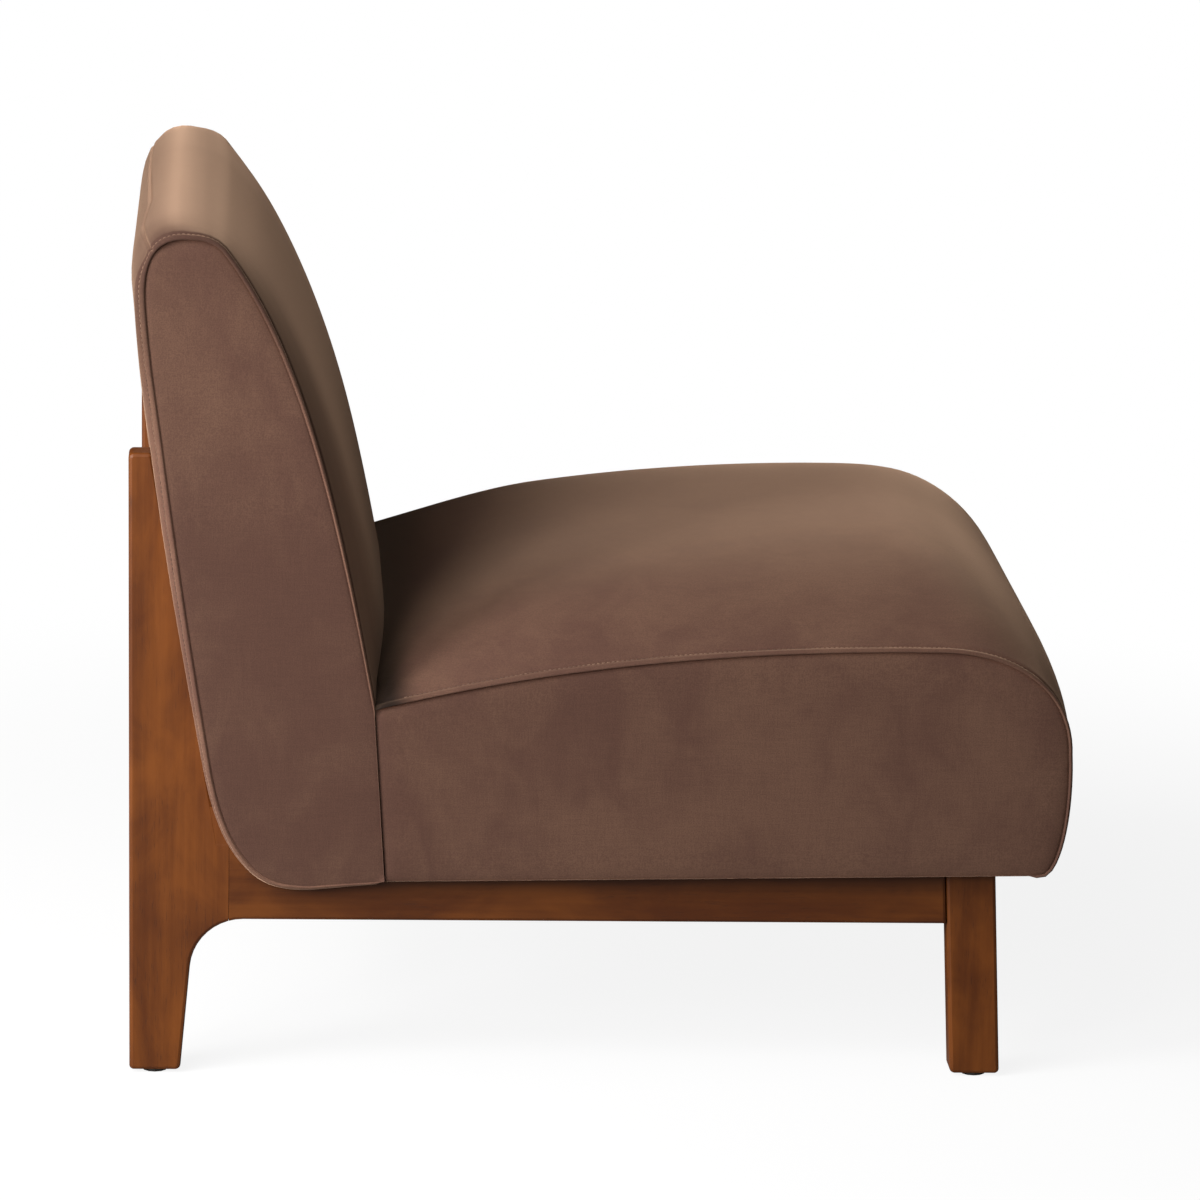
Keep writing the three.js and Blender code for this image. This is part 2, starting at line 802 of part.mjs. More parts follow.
// The top panel ends where it meets the back, and leaves the frame's underside and rear end bare
function seatTopPanel() {
  const frontEnd = frontRailX - legClearance;
  const under = block(chairRear, frontEnd, -halfCover, halfCover, -overrun, frameTop + fitGap);
  const rearEnd = creasePlace + backSwellAtCrease;
  const rearTop = creaseHeight - coverThickness - fitGap;
  const rear = block(chairRear, rearEnd, -halfCover, halfCover, -overrun, rearTop);
  const edge = creasePlace + coverThickness + fitGap;
  const edges = block(chairRear, edge, -halfCover, halfCover, -overrun, chairTop);
  return cut(common(seatShell, centralSlab()), backKeepOut, under, rear, edges, underside(bodyFloor));
}

function seatSidePanel() {
  return cut(common(seatShell, sideSlab()), backKeepOut);
}

// The plane through the seam at the top of the back that parts the front panel from the rear panel
function seamShape(front) {
  const top = new THREE.Vector2(seamTopPlace, backTopHeight);
  const foot = new THREE.Vector2(hemRearPlace, hemRearHeight);
  const over = top.clone().add(top.clone().sub(foot).normalize().multiplyScalar(overrun));
  const shift = front ? fitGap / 2 : -fitGap / 2;
  const edge = front ? chairFront : chairRear;
  return new THREE.Shape([
    new THREE.Vector2(foot.x + shift, -overrun),
    new THREE.Vector2(foot.x + shift, foot.y),
    new THREE.Vector2(top.x + shift, top.y),
    new THREE.Vector2(over.x + shift, over.y + overrun),
    new THREE.Vector2(edge, over.y + overrun),
    new THREE.Vector2(edge, -overrun),
  ]);
}

function backFrontPanel() {
  const front = common(common(backShell, centralSlab()), prism(seamShape(true), -halfCover, halfCover));
  return cut(front, block(chairRear, chairFront, -halfCover, halfCover, -overrun, frameTop + fitGap));
}

function outerPostRoom() {
  const shape = new THREE.Shape([
    new THREE.Vector2(chairRear, -overrun),
    new THREE.Vector2(postReach, -overrun),
    new THREE.Vector2(postReach, railTop + fitGap),
    new THREE.Vector2(postFront(railTop) + fitGap, railTop + fitGap),
    new THREE.Vector2(postTopDepth + fitGap, postHeight + fitGap),
    new THREE.Vector2(chairRear, postHeight + fitGap),
  ]);
  return prism(shape, boardInner - fitGap, boardOuter + fitGap);
}

function backRearPanel() {
  const rear = common(common(backShell, centralSlab()), prism(seamShape(false), -halfCover, halfCover));
  const posts = [outerPostRoom(), mirrored(outerPostRoom())];
  const bores = [dowelBore(), mirrored(dowelBore())];
  return cut(rear, underside(bodyFloor), ...posts, ...bores);
}

function backSidePanel() {
  return common(backShell, sideSlab());
}

function seatFoam() {
  return cut(seatForm(coverThickness + fillGap), backKeepOut, springRoom());
}

function backFoam() {
  const half = frameOuter + fitGap;
  const lower = block(chairRear, chairFront, -half, half, -overrun, frameTop + fitGap);
  return cut(backInside(), ladderRoom(), lower);
}

function dustCover() {
  const half = frameOuter - dustCoverMargin;
  const start = ladderPoint(0, 0).x + dustCoverSetback;
  const end = frontRailX - legClearance;
  const sheet = block(start, end, -half, half, bodyFloor, bodyFloor + dustCoverThickness);
  const holes = screwPlaces().flatMap((x) => {
    const hole = upright(screwDiameter + 2 * fitGap, 2 * overrun);
    hole.translate(x, boardMiddle, railTop - overrun);
    return [hole, mirrored(hole)];
  });
  return cut(sheet, ...holes);
}

function bodyScrew(x) {
  const head = screwHeadDiameter / 2;
  const shank = screwDiameter / 2;
  const seat = railUnderside + counterboreDepth - fitGap;
  const tip = frameFloor + screwBite - fitGap;
  const profile = [
    [0, seat - screwHeadHeight],
    [head * screwCrownShare, seat - screwHeadHeight],
    [head, seat - screwHeadHeight / 2],
    [head, seat],
    [shank, seat],
    [shank, tip - shank],
    [0, tip],
  ].map(([r, z]) => new THREE.Vector2(r, z));
  const turned = new THREE.LatheGeometry(profile, 12).rotateX(Math.PI / 2);
  return turned.translate(x, boardMiddle, 0);
}

function backDowel() {
  const start = postFront(dowelHeight) - dowelInPost;
  const end = postFront(dowelHeight) + dowelInFrame;
  const bar = new THREE.CylinderGeometry(dowelDiameter / 2, dowelDiameter / 2, end - start, 10);
  return bar.rotateZ(Math.PI / 2).translate((start + end) / 2, boardMiddle, dowelHeight);
}

// Assembly
const chair = new THREE.Group();

function add(parent, name, geometry, finish) {
  const mesh = new THREE.Mesh(geometry, finish.clone());
  mesh.name = name;
  parent.add(mesh);
}

function addPair(parent, name, geometry, finish) {
  add(parent, `${name}_left`, geometry, finish);
  add(parent, `${name}_right`, mirrored(geometry), finish);
}

function buildBase() {
  const base = new THREE.Group();
  addPair(base, 'rear_post', rearPost(), stainedWood);
  addPair(base, 'side_rail', sideRail(), stainedWood);
  addPair(base, 'front_leg', frontLeg(), stainedWood);
  add(base, 'base_rear_rail', crossRail('rear'), stainedWood);
  add(base, 'base_front_rail', crossRail('front'), stainedWood);
  addPair(base, 'base_block_rear', cornerBlock('rear'), plainWood);
  addPair(base, 'base_block_front', cornerBlock('front'), plainWood);
  addPair(base, 'foot_glide_rear', glide(rearGlideX), nylon);
  addPair(base, 'foot_glide_front', glide(frontGlideX), nylon);
  return base;
}

function buildFrame() {
  const frame = new THREE.Group();
  addPair(frame, 'seat_rail', seatSideRail(), plainWood);
  add(frame, 'seat_rail_front', seatFrontRail(), plainWood);
  add(frame, 'seat_rail_rear', seatRearRail(), plainWood);
  addPair(frame, 'back_post', backPost(), plainWood);
  add(frame, 'back_rail_bottom', ladderRail(0), plainWood);
  add(frame, 'back_rail_middle', ladderRail(ladderLength * middleRailShare), plainWood);
  add(frame, 'back_rail_top', ladderRail(ladderLength - ladderRailHeight), plainWood);
  addPair(frame, 'back_dowel', backDowel(), plainWood);
  screwPlaces().forEach((x, i) => addPair(frame, `body_screw_${i + 1}`, bodyScrew(x), zincSteel));
  webPlaceShares.forEach((share, i) => add(frame, `back_web_${i + 1}`, backWeb(share), webbing));
  return frame;
}

function buildSuspension() {
  const suspension = new THREE.Group();
  springPlaces().forEach((y, i) => {
    add(suspension, `seat_spring_${i + 1}`, springWire(y), springSteel);
    add(suspension, `spring_clip_rear_${i + 1}`, springClip(springRear, y, false), zincSteel);
    add(suspension, `spring_clip_front_${i + 1}`, springClip(springFront, y, true), zincSteel);
  });
  add(suspension, 'spring_pad', springPad(), felt);
  return suspension;
}

function buildBody() {
  const body = new THREE.Group();
  add(body, 'seat_foam', seatFoam(), foam);
  add(body, 'back_foam', backFoam(), foam);
  add(body, 'seat_top_panel', seatTopPanel(), velvet);
  addPair(body, 'seat_side_panel', seatSidePanel(), velvet);
  add(body, 'back_front_panel', backFrontPanel(), velvet);
  addPair(body, 'back_side_panel', backSidePanel(), velvet);
  add(body, 'back_rear_panel', backRearPanel(), velvet);
  add(body, 'dust_cover', dustCover(), liningCloth);
  return body;
}

chair.add(buildBase(), buildFrame(), buildSuspension(), buildBody());

// The origin is under the middle of the whole chair, at the height of the floor
const extent = new THREE.Box3().setFromObject(chair);
chair.position.set(-(extent.min.x + extent.max.x) / 2, 0, -extent.min.z);
chair.updateMatrixWorld(true);

export default chair;
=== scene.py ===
"""Slipper chair: velvet cushions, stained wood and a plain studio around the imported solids."""

import logging
import math
from dataclasses import dataclass, field
from enum import Enum
from typing import Any

import bpy
import numpy as np
from mathutils import Matrix, Vector
from mathutils.bvhtree import BVHTree
from mathutils.geometry import delaunay_2d_cdt


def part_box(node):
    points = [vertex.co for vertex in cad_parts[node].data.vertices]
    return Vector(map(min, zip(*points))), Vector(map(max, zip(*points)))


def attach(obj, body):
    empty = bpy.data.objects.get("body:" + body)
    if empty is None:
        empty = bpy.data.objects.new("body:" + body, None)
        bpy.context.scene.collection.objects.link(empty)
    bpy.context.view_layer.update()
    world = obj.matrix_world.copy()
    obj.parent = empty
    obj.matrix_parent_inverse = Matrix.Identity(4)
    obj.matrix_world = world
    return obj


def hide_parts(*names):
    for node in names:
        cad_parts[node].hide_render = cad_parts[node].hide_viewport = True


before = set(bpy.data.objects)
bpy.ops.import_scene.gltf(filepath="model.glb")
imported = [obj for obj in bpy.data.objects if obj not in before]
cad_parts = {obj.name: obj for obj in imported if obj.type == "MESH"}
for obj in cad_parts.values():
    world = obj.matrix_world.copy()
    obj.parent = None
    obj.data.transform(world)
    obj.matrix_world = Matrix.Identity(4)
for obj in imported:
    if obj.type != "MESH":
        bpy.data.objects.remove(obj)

LOG = logging.getLogger("chair")
MM = 0.001
BODY = "root"

Pair = tuple[float, float]
Triple = tuple[float, float, float]
Colour = Triple
Faces = list[tuple[int, ...]]
Line = tuple[np.ndarray, np.ndarray]


def linear(red: int, green: int, blue: int) -> Colour:
    """A colour as the light values that a shader takes.

    Args:
        red: the red of the colour as it is seen, 0 to 255.
        green: its green.
        blue: its blue.

    Returns:
        The light values, 0 to 1.
    """
    values = []
    for level in (red, green, blue):
        share = level / 255
        values.append(share / 12.92 if share <= 0.04045 else ((share + 0.055) / 1.055) ** 2.4)
    return values[0], values[1], values[2]


def smooth_step(low: float, high: float, value: np.ndarray) -> np.ndarray:
    """0 at low and 1 at high, with a soft start and end.

    Args:
        low: where the step starts; it may be above high.
        high: where the step ends.
        value: the values to step over.

    Returns:
        The step at each value.
    """
    share = np.clip((np.asarray(value, float) - low) / (high - low), 0, 1)
    return share * share * (3 - 2 * share)


def hump(value: np.ndarray, middle: float, spread: float) -> np.ndarray:
    """A bell of height 1 round the middle."""
    return np.exp(-(((np.asarray(value, float) - middle) / spread) ** 2))


def run_length(points: np.ndarray) -> np.ndarray:
    """The distance of each point along a line of points, from the first."""
    return np.concatenate([[0], np.cumsum(np.linalg.norm(np.diff(points, axis=0), axis=1))])


class Wave:
    """Slow seeded waves along a length, for the unevenness of hand work."""

    def __init__(self, seed: int, length: float, count: int = 5) -> None:
        """Draws the waves.

        Args:
            seed: the seed of the draw.
            length: the longest wavelength.
            count: how many waves are summed.
        """
        draw = np.random.default_rng(seed)
        self.rates = 2 * math.pi / (length * draw.uniform(0.35, 1.0, count))
        self.starts = draw.uniform(0, 2 * math.pi, count)
        self.heights = draw.uniform(0.4, 1.0, count) / count

    def __call__(self, along: np.ndarray) -> np.ndarray:
        """The height of the waves.

        Args:
            along: places along the length.

        Returns:
            The height at each place, from about -1 to 1.
        """
        along = np.asarray(along, float)
        total = np.zeros_like(along)
        for rate, start, height in zip(self.rates, self.starts, self.heights):
            total = total + height * np.sin(rate * along + start)
        return total


# Shader graphs


class Wire:
    """An output socket in a shader graph. Sums on wires add Math nodes."""

    def __init__(self, graph: "Graph", socket: bpy.types.NodeSocket) -> None:
        """Keeps the graph and the socket."""
        self.graph = graph
        self.socket = socket

    def _math(self, operation: str, first: "Wire | float", second: "Wire | float") -> "Wire":
        """A Math node over two values."""
        return self.graph.add("ShaderNodeMath", {"operation": operation}, {0: first, 1: second})

    def __add__(self, other: "Wire | float") -> "Wire":
        """This value plus another."""
        return self._math("ADD", self, other)

    def __radd__(self, other: float) -> "Wire":
        """A number plus this value."""
        return self._math("ADD", other, self)

    def __sub__(self, other: "Wire | float") -> "Wire":
        """This value less another."""
        return self._math("SUBTRACT", self, other)

    def __rsub__(self, other: float) -> "Wire":
        """A number less this value."""
        return self._math("SUBTRACT", other, self)

    def __mul__(self, other: "Wire | float") -> "Wire":
        """This value times another."""
        return self._math("MULTIPLY", self, other)

    def __rmul__(self, other: float) -> "Wire":
        """A number times this value."""
        return self._math("MULTIPLY", other, self)

    def __truediv__(self, other: "Wire | float") -> "Wire":
        """This value over another."""
        return self._math("DIVIDE", self, other)

    def step(self, low: float, high: float) -> "Wire":
        """0 below low and 1 above high, with a soft change between.

        Args:
            low: where the change starts.
            high: where it ends.

        Returns:
            The stepped value.
        """
        settings = {"interpolation_type": "SMOOTHSTEP"}
        sockets = {"Value": self, "From Min": low, "From Max": high}
        return self.graph.add("ShaderNodeMapRange", settings, sockets)


class Graph:
    """The node tree of a material or of the world, built node by node."""

    def __init__(self, owner: bpy.types.Material | bpy.types.World) -> None:
        """Empties the node tree of a material or a world."""
        self.owner = owner
        owner.use_nodes = True
        self.tree = owner.node_tree
        self.tree.nodes.clear()

    @classmethod
    def named(cls, name: str) -> "Graph":
        """The graph of a new material of that name."""
        return cls(bpy.data.materials.new(name))

    @staticmethod
    def _socket(sockets: Any, key: str | int) -> bpy.types.NodeSocket:
        """Finds a socket.

        Args:
            sockets: the inputs or the outputs of a node.
            key: the socket's index, identifier or name.

        Returns:
            The socket.
        """
        if isinstance(key, int):
            return sockets[key]
        for socket in sockets:
            if socket.identifier == key:
                return socket
        return sockets[key]

    def add(
        self,
        kind: str,
        settings: dict[str, Any] | None = None,
        sockets: dict[str | int, Any] | None = None,
        output: str | int = 0,
    ) -> Wire:
        """Adds a node.

        Args:
            kind: the node's type.
            settings: its settings, set first.
            sockets: a value or a wire for each input, by name, identifier or index.
            output: the output that is wanted.

        Returns:
            A wire from that output.
        """
        node = self.tree.nodes.new(kind)
        for key, value in (settings or {}).items():
            setattr(node, key, value)
        for key, value in (sockets or {}).items():
            socket = self._socket(node.inputs, key)
            if isinstance(value, Wire):
                self.tree.links.new(value.socket, socket)
            elif socket.type == "RGBA":
                socket.default_value = (*value[:3], 1.0)
            else:
                socket.default_value = value
        if not node.outputs:
            return Wire(self, None)
        return Wire(self, self._socket(node.outputs, output))

    def mix(self, share: Wire | float, first: Any, second: Any, blend: str = "MIX") -> Wire:
        """Mixes two colours.

        Args:
            share: 0 for the first colour and 1 for the second.
            first: a colour or a wire.
            second: a colour or a wire.
            blend: the way they mix.

        Returns:
            The mixed colour.
        """
        settings = {"data_type": "RGBA", "blend_type": blend, "clamp_factor": True}
        sockets = {"Factor_Float": share, "A_Color": first, "B_Color": second}
        return self.add("ShaderNodeMix", settings, sockets, "Result_Color")

    def place(self, scale: Triple = (1, 1, 1), shift: Triple = (0, 0, 0)) -> Wire:
        """The place on the object.

        Args:
            scale: a stretch along each axis.
            shift: a move along each axis.

        Returns:
            The stretched place, in metres.
        """
        spot = self.add("ShaderNodeTexCoord", None, None, "Object")
        sockets = {"Vector": spot, "Scale": scale, "Location": shift}
        return self.add("ShaderNodeMapping", None, sockets)

    def axes(self) -> tuple[Wire, ...]:
        """The place on the object along each axis, in metres."""
        spot = self.place()
        return tuple(self.add("ShaderNodeSeparateXYZ", None, {"Vector": spot}, axis) for axis in "XYZ")

    def noise(
        self, scale: Triple, detail: float = 2.0, rough: float = 0.5, bend: float = 0.0, shift: Triple = (0, 0, 0)
    ) -> Wire:
        """Cloudy noise.

        Args:
            scale: clouds per metre along each axis.
            detail: octaves.
            rough: strength of the fine octaves.
            bend: distortion.
            shift: a move of the pattern along each axis.

        Returns:
            The noise, from 0 to 1.
        """
        sockets = {"Vector": self.place(scale, shift), "Scale": 1.0}
        sockets |= {"Detail": detail, "Roughness": rough, "Distortion": bend}
        return self.add("ShaderNodeTexNoise", {"normalize": True}, sockets, "Fac")

    def bump(self, height: Wire, strength: float, depth: float) -> Wire:
        """A bumped normal.

        Args:
            height: 0 to 1.
            strength: 0 to 1.
            depth: the height of 1, in metres.

        Returns:
            The normal.
        """
        sockets = {"Height": height, "Strength": strength, "Distance": depth}
        return self.add("ShaderNodeBump", None, sockets)

    def finish(self, sockets: dict[str, Any]) -> bpy.types.Material:
        """Ends the graph in a Principled surface.

        Args:
            sockets: a value or a wire for each of its inputs.

        Returns:
            The material.
        """
        surface = self.add("ShaderNodeBsdfPrincipled", None, sockets)
        self.add("ShaderNodeOutputMaterial", None, {"Surface": surface})
        return self.owner


# Finishes


class Grain(Enum):
    """The way that the grain of a board runs."""

    UPRIGHT = 2
    FORWARD = 0
    ACROSS = 1


def grain_scale(grain: Grain, along: float, around: float) -> Triple:
    """A scale that stretches noise along the grain.

    Args:
        grain: the way that the grain runs.
        along: clouds per metre along it.
        around: clouds per metre the other ways.

    Returns:
        The scale along each axis.
    """
    values = [around] * 3
    values[grain.value] = along
    return values[0], values[1], values[2]


@dataclass(frozen=True)
class StainedWood:
    """Hardwood under an orange-brown stain and a satin lacquer."""

    name: str
    grain: Grain
    shift: float = 0.0
    dark: Colour = linear(82, 40, 12)
    light: Colour = linear(118, 64, 21)
    pore: Colour = linear(54, 26, 8)
    # under and the two ranges after it paint the body's shadow onto the board as darker colour.
    under: float = 0.0
    shadow_heights: Pair = (0.158, 0.178)
    shadow_start: Pair = (-0.315, -0.26)

    def painted_shadow_mask(self, graph: Graph) -> Wire:
        """Painted shadow: darker colour along the top of a board, where the body above shades it."""
        x, _, z = graph.axes()
        return z.step(*self.shadow_heights) * x.step(*self.shadow_start) * self.under

    def build(self) -> bpy.types.Material:
        """Makes it with bands, streaks, pores and blotches of stain, and a painted shadow under the body where
        asked.

        Returns:
            The material.
        """
        graph = Graph.named(self.name)
        shift = (self.shift, self.shift * 1.7, self.shift * 0.6)
        bands = graph.noise(grain_scale(self.grain, 2.2, 24), 3, 0.55, 0.6, shift)
        streaks = graph.noise(grain_scale(self.grain, 9, 260), 3, 0.5, 0.3, shift)
        fine = graph.noise(grain_scale(self.grain, 75, 900), 2, shift=shift)
        blotch = graph.noise(grain_scale(self.grain, 9, 17), 4, 0.6, 0.5, shift)
        tone = bands * 0.4 + streaks * 0.12 + blotch * 0.48
        colour = graph.mix(tone.step(0.36, 0.66), self.dark, self.light)
        pores = fine.step(0.58, 0.72) * blotch.step(0.62, 0.4)
        colour = graph.mix(pores * 0.42, colour, self.pore)
        # Painted shadow: the colour goes towards the pore colour where the body shades the board.
        if self.under:
            colour = graph.mix(self.painted_shadow_mask(graph), colour, self.pore)
        rough = 0.36 + streaks * 0.12 + pores * 0.15
        normal = graph.bump(fine * 0.5 + streaks * 0.5 - pores * 0.5, 0.25, 0.0003)
        return graph.finish({
            "Base Color": colour, "Roughness": rough, "Normal": normal,
            "Coat Weight": 0.08, "Coat Roughness": 0.35, "Specular IOR Level": 0.25,
        })


@dataclass(frozen=True)
class BareWood:
    """Sawn softwood of the hidden frame."""

    name: str
    grain: Grain

    def build(self) -> bpy.types.Material:
        """Makes it with year rings and saw marks.

        Returns:
            The material.
        """
        graph = Graph.named(self.name)
        rings = graph.noise(grain_scale(self.grain, 1.5, 45), 2, 0.5, 0.8)
        fibres = graph.noise(grain_scale(self.grain, 20, 900), 3, 0.6)
        colour = graph.mix(rings.step(0.35, 0.7), linear(222, 192, 146), linear(188, 146, 96))
        colour = graph.mix(fibres.step(0.5, 0.8) * 0.3, colour, linear(150, 112, 72))
        saw = graph.noise(grain_scale(self.grain, 420, 12), 1)
        normal = graph.bump(fibres * 0.6 + saw * 0.4, 0.4, 0.0004)
        return graph.finish({"Base Color": colour, "Roughness": 0.62 + fibres * 0.2, "Normal": normal})


@dataclass(frozen=True)
class Velvet:
    """Short velvet with a laid nap that turns lighter and yellower where it faces the light; it can also carry
    painted shadow and painted light.
    """

    name: str
    deep: Colour = linear(86, 59, 49)
    warm: Colour = linear(101, 73, 59)
    shade: Colour = linear(62, 42, 35)
    sheen: float = 0.69
    tint: Colour = (1.0, 0.645, 0.43)
    seed: float = 0.0
    # The next five fields paint the back's shadow into the seat's crease: its strength, place, slant and width, and
    # worn, the near-black colour of that painted shadow.
    crease_shadow: float = 0.0
    crease: Pair = (-0.190, 0.330)
    lean: float = 0.2
    reach: Pair = (0.062, 0.085)
    worn: Colour = (0.004, 0.002, 0.001)
    # These two paint light by height: the colour is scaled up low on the back and down on its top.
    painted_light_levels: Pair = (1.0, 1.0)
    painted_light_heights: Pair = (0.5, 0.71)

    def painted_crease_shadow(self, graph: Graph) -> Wire:
        """Painted shadow of the back on the seat beside the crease, further out at the left.

        Args:
            graph: the velvet's graph.

        Returns:
            1 in the crease, and 0 away from it.
        """
        x, y, z = graph.axes()
        ahead = (x - self.crease[0]) + (z - self.crease[1]) * self.lean
        return 1.0 - (ahead / (y * self.reach[1] + self.reach[0])).step(0.1, 1.0)

    def build(self) -> bpy.types.Material:
        """Makes it with nap clouds, strokes of a hand, the ground weave and fine pile, with a painted shadow in the
        crease and painted light by height where asked.

        Returns:
            The material.
        """
        graph = Graph.named(self.name)
        shift = (self.seed, self.seed * 2.3, self.seed * 1.1)
        clouds = graph.noise((5, 5, 6), 3, 0.55, 0.5, shift)
        strokes = graph.noise((22, 22, 14), 3, 0.6, 0.8, shift)
        warp = graph.noise((900, 900, 60), 1, shift=shift)
        weft = graph.noise((60, 60, 900), 1, shift=shift)
        pile = graph.noise((900, 900, 900), 2, 0.7)
        nap = clouds * 0.6 + strokes * 0.4
        colour = graph.mix(nap.step(0.36, 0.64), self.deep, self.warm)
        weave = (warp + weft) * 0.14 + pile * 0.72
        colour = graph.mix(weave.step(0.38, 0.62) * 0.42, colour, self.shade)
        # Painted shadow: the colour goes near black in the crease, where the back shades the seat.
        if self.crease_shadow:
            colour = graph.mix(self.painted_crease_shadow(graph) * self.crease_shadow, colour, self.worn)
        # Painted light: lighter low on the back, where its front lies in shade, and darker on its top, where its
        # highlight falls.
        if self.painted_light_levels != (1.0, 1.0):
            high = graph.axes()[2].step(*self.painted_light_heights)
            level = graph.mix(high, *([level] * 3 for level in self.painted_light_levels))
            colour = graph.mix(1.0, colour, level, "MULTIPLY")
        rough = 0.78 + nap * 0.15
        normal = graph.bump(weave, 0.35, 0.0003)
        return graph.finish({
            "Base Color": colour, "Roughness": rough, "Normal": normal, "Specular IOR Level": 0.15,
            "Sheen Weight": self.sheen, "Sheen Roughness": 0.4, "Sheen Tint": (*self.tint, 1.0),
        })


@dataclass(frozen=True)
class Cloth:
    """A plain cloth, such as thread, felt, webbing or lining."""

    name: str
    base: Colour
    other: Colour
    weave: float
    rough: float = 0.9
    depth: float = 0.0004
    patchy: float = 0.3

    def build(self) -> bpy.types.Material:
        """Makes it with crossed threads and a little unevenness.

        Returns:
            The material.
        """
        graph = Graph.named(self.name)
        first = graph.noise((self.weave, self.weave, self.weave * 0.1))
        second = graph.noise((self.weave * 0.1, self.weave, self.weave))
        patches = graph.noise((18, 18, 18))
        threads = first * 0.5 + second * 0.5
        tone = threads * (1 - self.patchy) + patches * self.patchy
        colour = graph.mix(tone.step(0.4, 0.62), self.base, self.other)
        normal = graph.bump(threads, 0.5, self.depth)
        return graph.finish({"Base Color": colour, "Roughness": self.rough - 0.1 * threads, "Normal": normal})


@dataclass(frozen=True)
class Metal:
    """Plated or oiled steel."""

    name: str
    base: Colour
    stain: Colour
    rough: float

    def build(self) -> bpy.types.Material:
        """Makes it with spangle and rubbed spots.

        Returns:
            The material.
        """
        graph = Graph.named(self.name)
        spots = graph.noise((240, 240, 240), 3, 0.6, 0.4)
        colour = graph.mix(spots.step(0.5, 0.75) * 0.6, self.base, self.stain)
        normal = graph.bump(spots, 0.2, 0.0001)
        return graph.finish({
            "Base Color": colour, "Metallic": 1.0 - spots.step(0.62, 0.8) * 0.3,
            "Roughness": self.rough + 0.2 * spots, "Normal": normal,
        })


@dataclass(frozen=True)
class Nylon:
    """Moulded dark nylon, scuffed where it stands on the floor."""

    name: str

    def build(self) -> bpy.types.Material:
        """Makes it with a fine moulded texture and scuffs.

        Returns:
            The material.
        """
        graph = Graph.named(self.name)
        texture = graph.noise((1400, 1400, 1400))
        scuffs = graph.noise((160, 500, 160), 3, 0.6, 0.7)
        colour = graph.mix(scuffs.step(0.58, 0.72) * 0.5, linear(46, 38, 32), linear(92, 82, 74))
        normal = graph.bump(texture, 0.3, 0.0002)
        return graph.finish({"Base Color": colour, "Roughness": 0.5 + 0.25 * scuffs, "Normal": normal})


# Places and meshes


@dataclass(frozen=True)
class Datum:
    """Where the sizes of the body are measured from: the rear edge of the posts and the foot of the wood."""

    rear: float
    foot: float
    lean: float = 3.3

    @classmethod
    def of_frame(cls) -> "Datum":
        """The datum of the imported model, whose posts lean back past their own feet."""
        low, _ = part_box("rear_post_left")
        return cls(rear=low.x + cls.lean * MM, foot=low.z)

    def place(self, points: np.ndarray) -> np.ndarray:
        """Millimetres forward, across and up, as places in the row frame in metres."""
        return np.asarray(points, float) * MM + np.array((self.rear, 0.0, self.foot))


def make_mesh(
    name: str, points: np.ndarray, faces: Faces, finishes: list[bpy.types.Material], picks: np.ndarray | None = None
) -> bpy.types.Object:
    """Makes a smooth mesh object in the row frame.

    Args:
        name: the piece's name.
        points: its places, in metres.
        faces: the corners of each face.
        finishes: its materials.
        picks: the index of each face's material, where there are several.

    Returns:
        The object, linked to the scene.
    """
    mesh = bpy.data.meshes.new(name)
    mesh.from_pydata([tuple(p) for p in points], [], faces)
    for finish in finishes:
        mesh.materials.append(finish)
    if picks is not None:
        mesh.polygons.foreach_set("material_index", np.asarray(picks, np.int32))
    mesh.polygons.foreach_set("use_smooth", np.ones(len(faces), bool))
    mesh.validate()
    mesh.update()
    piece = bpy.data.objects.new(name, mesh)
    bpy.context.scene.collection.objects.link(piece)
    return piece


def quads(numbers: np.ndarray) -> Faces:
    """The faces between neighbours in a grid of point numbers."""
    corners = [numbers[:-1, :-1], numbers[:-1, 1:], numbers[1:, 1:], numbers[1:, :-1]]
    return [tuple(face) for face in np.stack(corners, -1).reshape(-1, 4).tolist()]


def loft(rings: int, count: int, first: int = 0) -> Faces:
    """The faces of a rod through closed rings of points, both ends capped.

    Args:
        rings: how many rings.
        count: how many points each ring has.
        first: the number of the first point.

    Returns:
        The corners of each face.
    """
    numbers = first + np.arange(rings * count).reshape(rings, count)
    sides = quads(np.column_stack([numbers, numbers[:, 0]]))
    return [*sides, tuple(numbers[0, ::-1].tolist()), tuple(numbers[-1].tolist())]


def slab(top: np.ndarray, bottom: np.ndarray) -> tuple[np.ndarray, Faces]:
    """A closed sheet between two grids.

    Args:
        top: (rows, columns, 3) places, rows forward and columns across.
        bottom: the same, under it.

    Returns:
        The points and the faces.
    """
    rows, columns, _ = top.shape
    count = rows * columns
    numbers = np.arange(count).reshape(rows, columns)
    rim = np.concatenate([numbers[0], numbers[1:, -1], numbers[-1, -2::-1], numbers[-2::-1, 0]])
    faces = quads(numbers.T) + quads(count + numbers) + quads(np.array([rim, count + rim]))
    return np.concatenate([top.reshape(-1, 3), bottom.reshape(-1, 3)]), faces


def settle(piece: bpy.types.Object, slot: str, *nodes: str) -> bpy.types.Object:
    """Lets a piece ride on the body.

    Args:
        piece: the piece.
        slot: the name of its material slot, only logged.
        nodes: the nodes that it stands for, which are hidden.

    Returns:
        The piece.
    """
    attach(piece, BODY)
    if nodes:
        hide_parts(*nodes)
    LOG.info("%s: %d faces, slot %s", piece.name, len(piece.data.polygons), slot)
    return piece


# The upholstered body


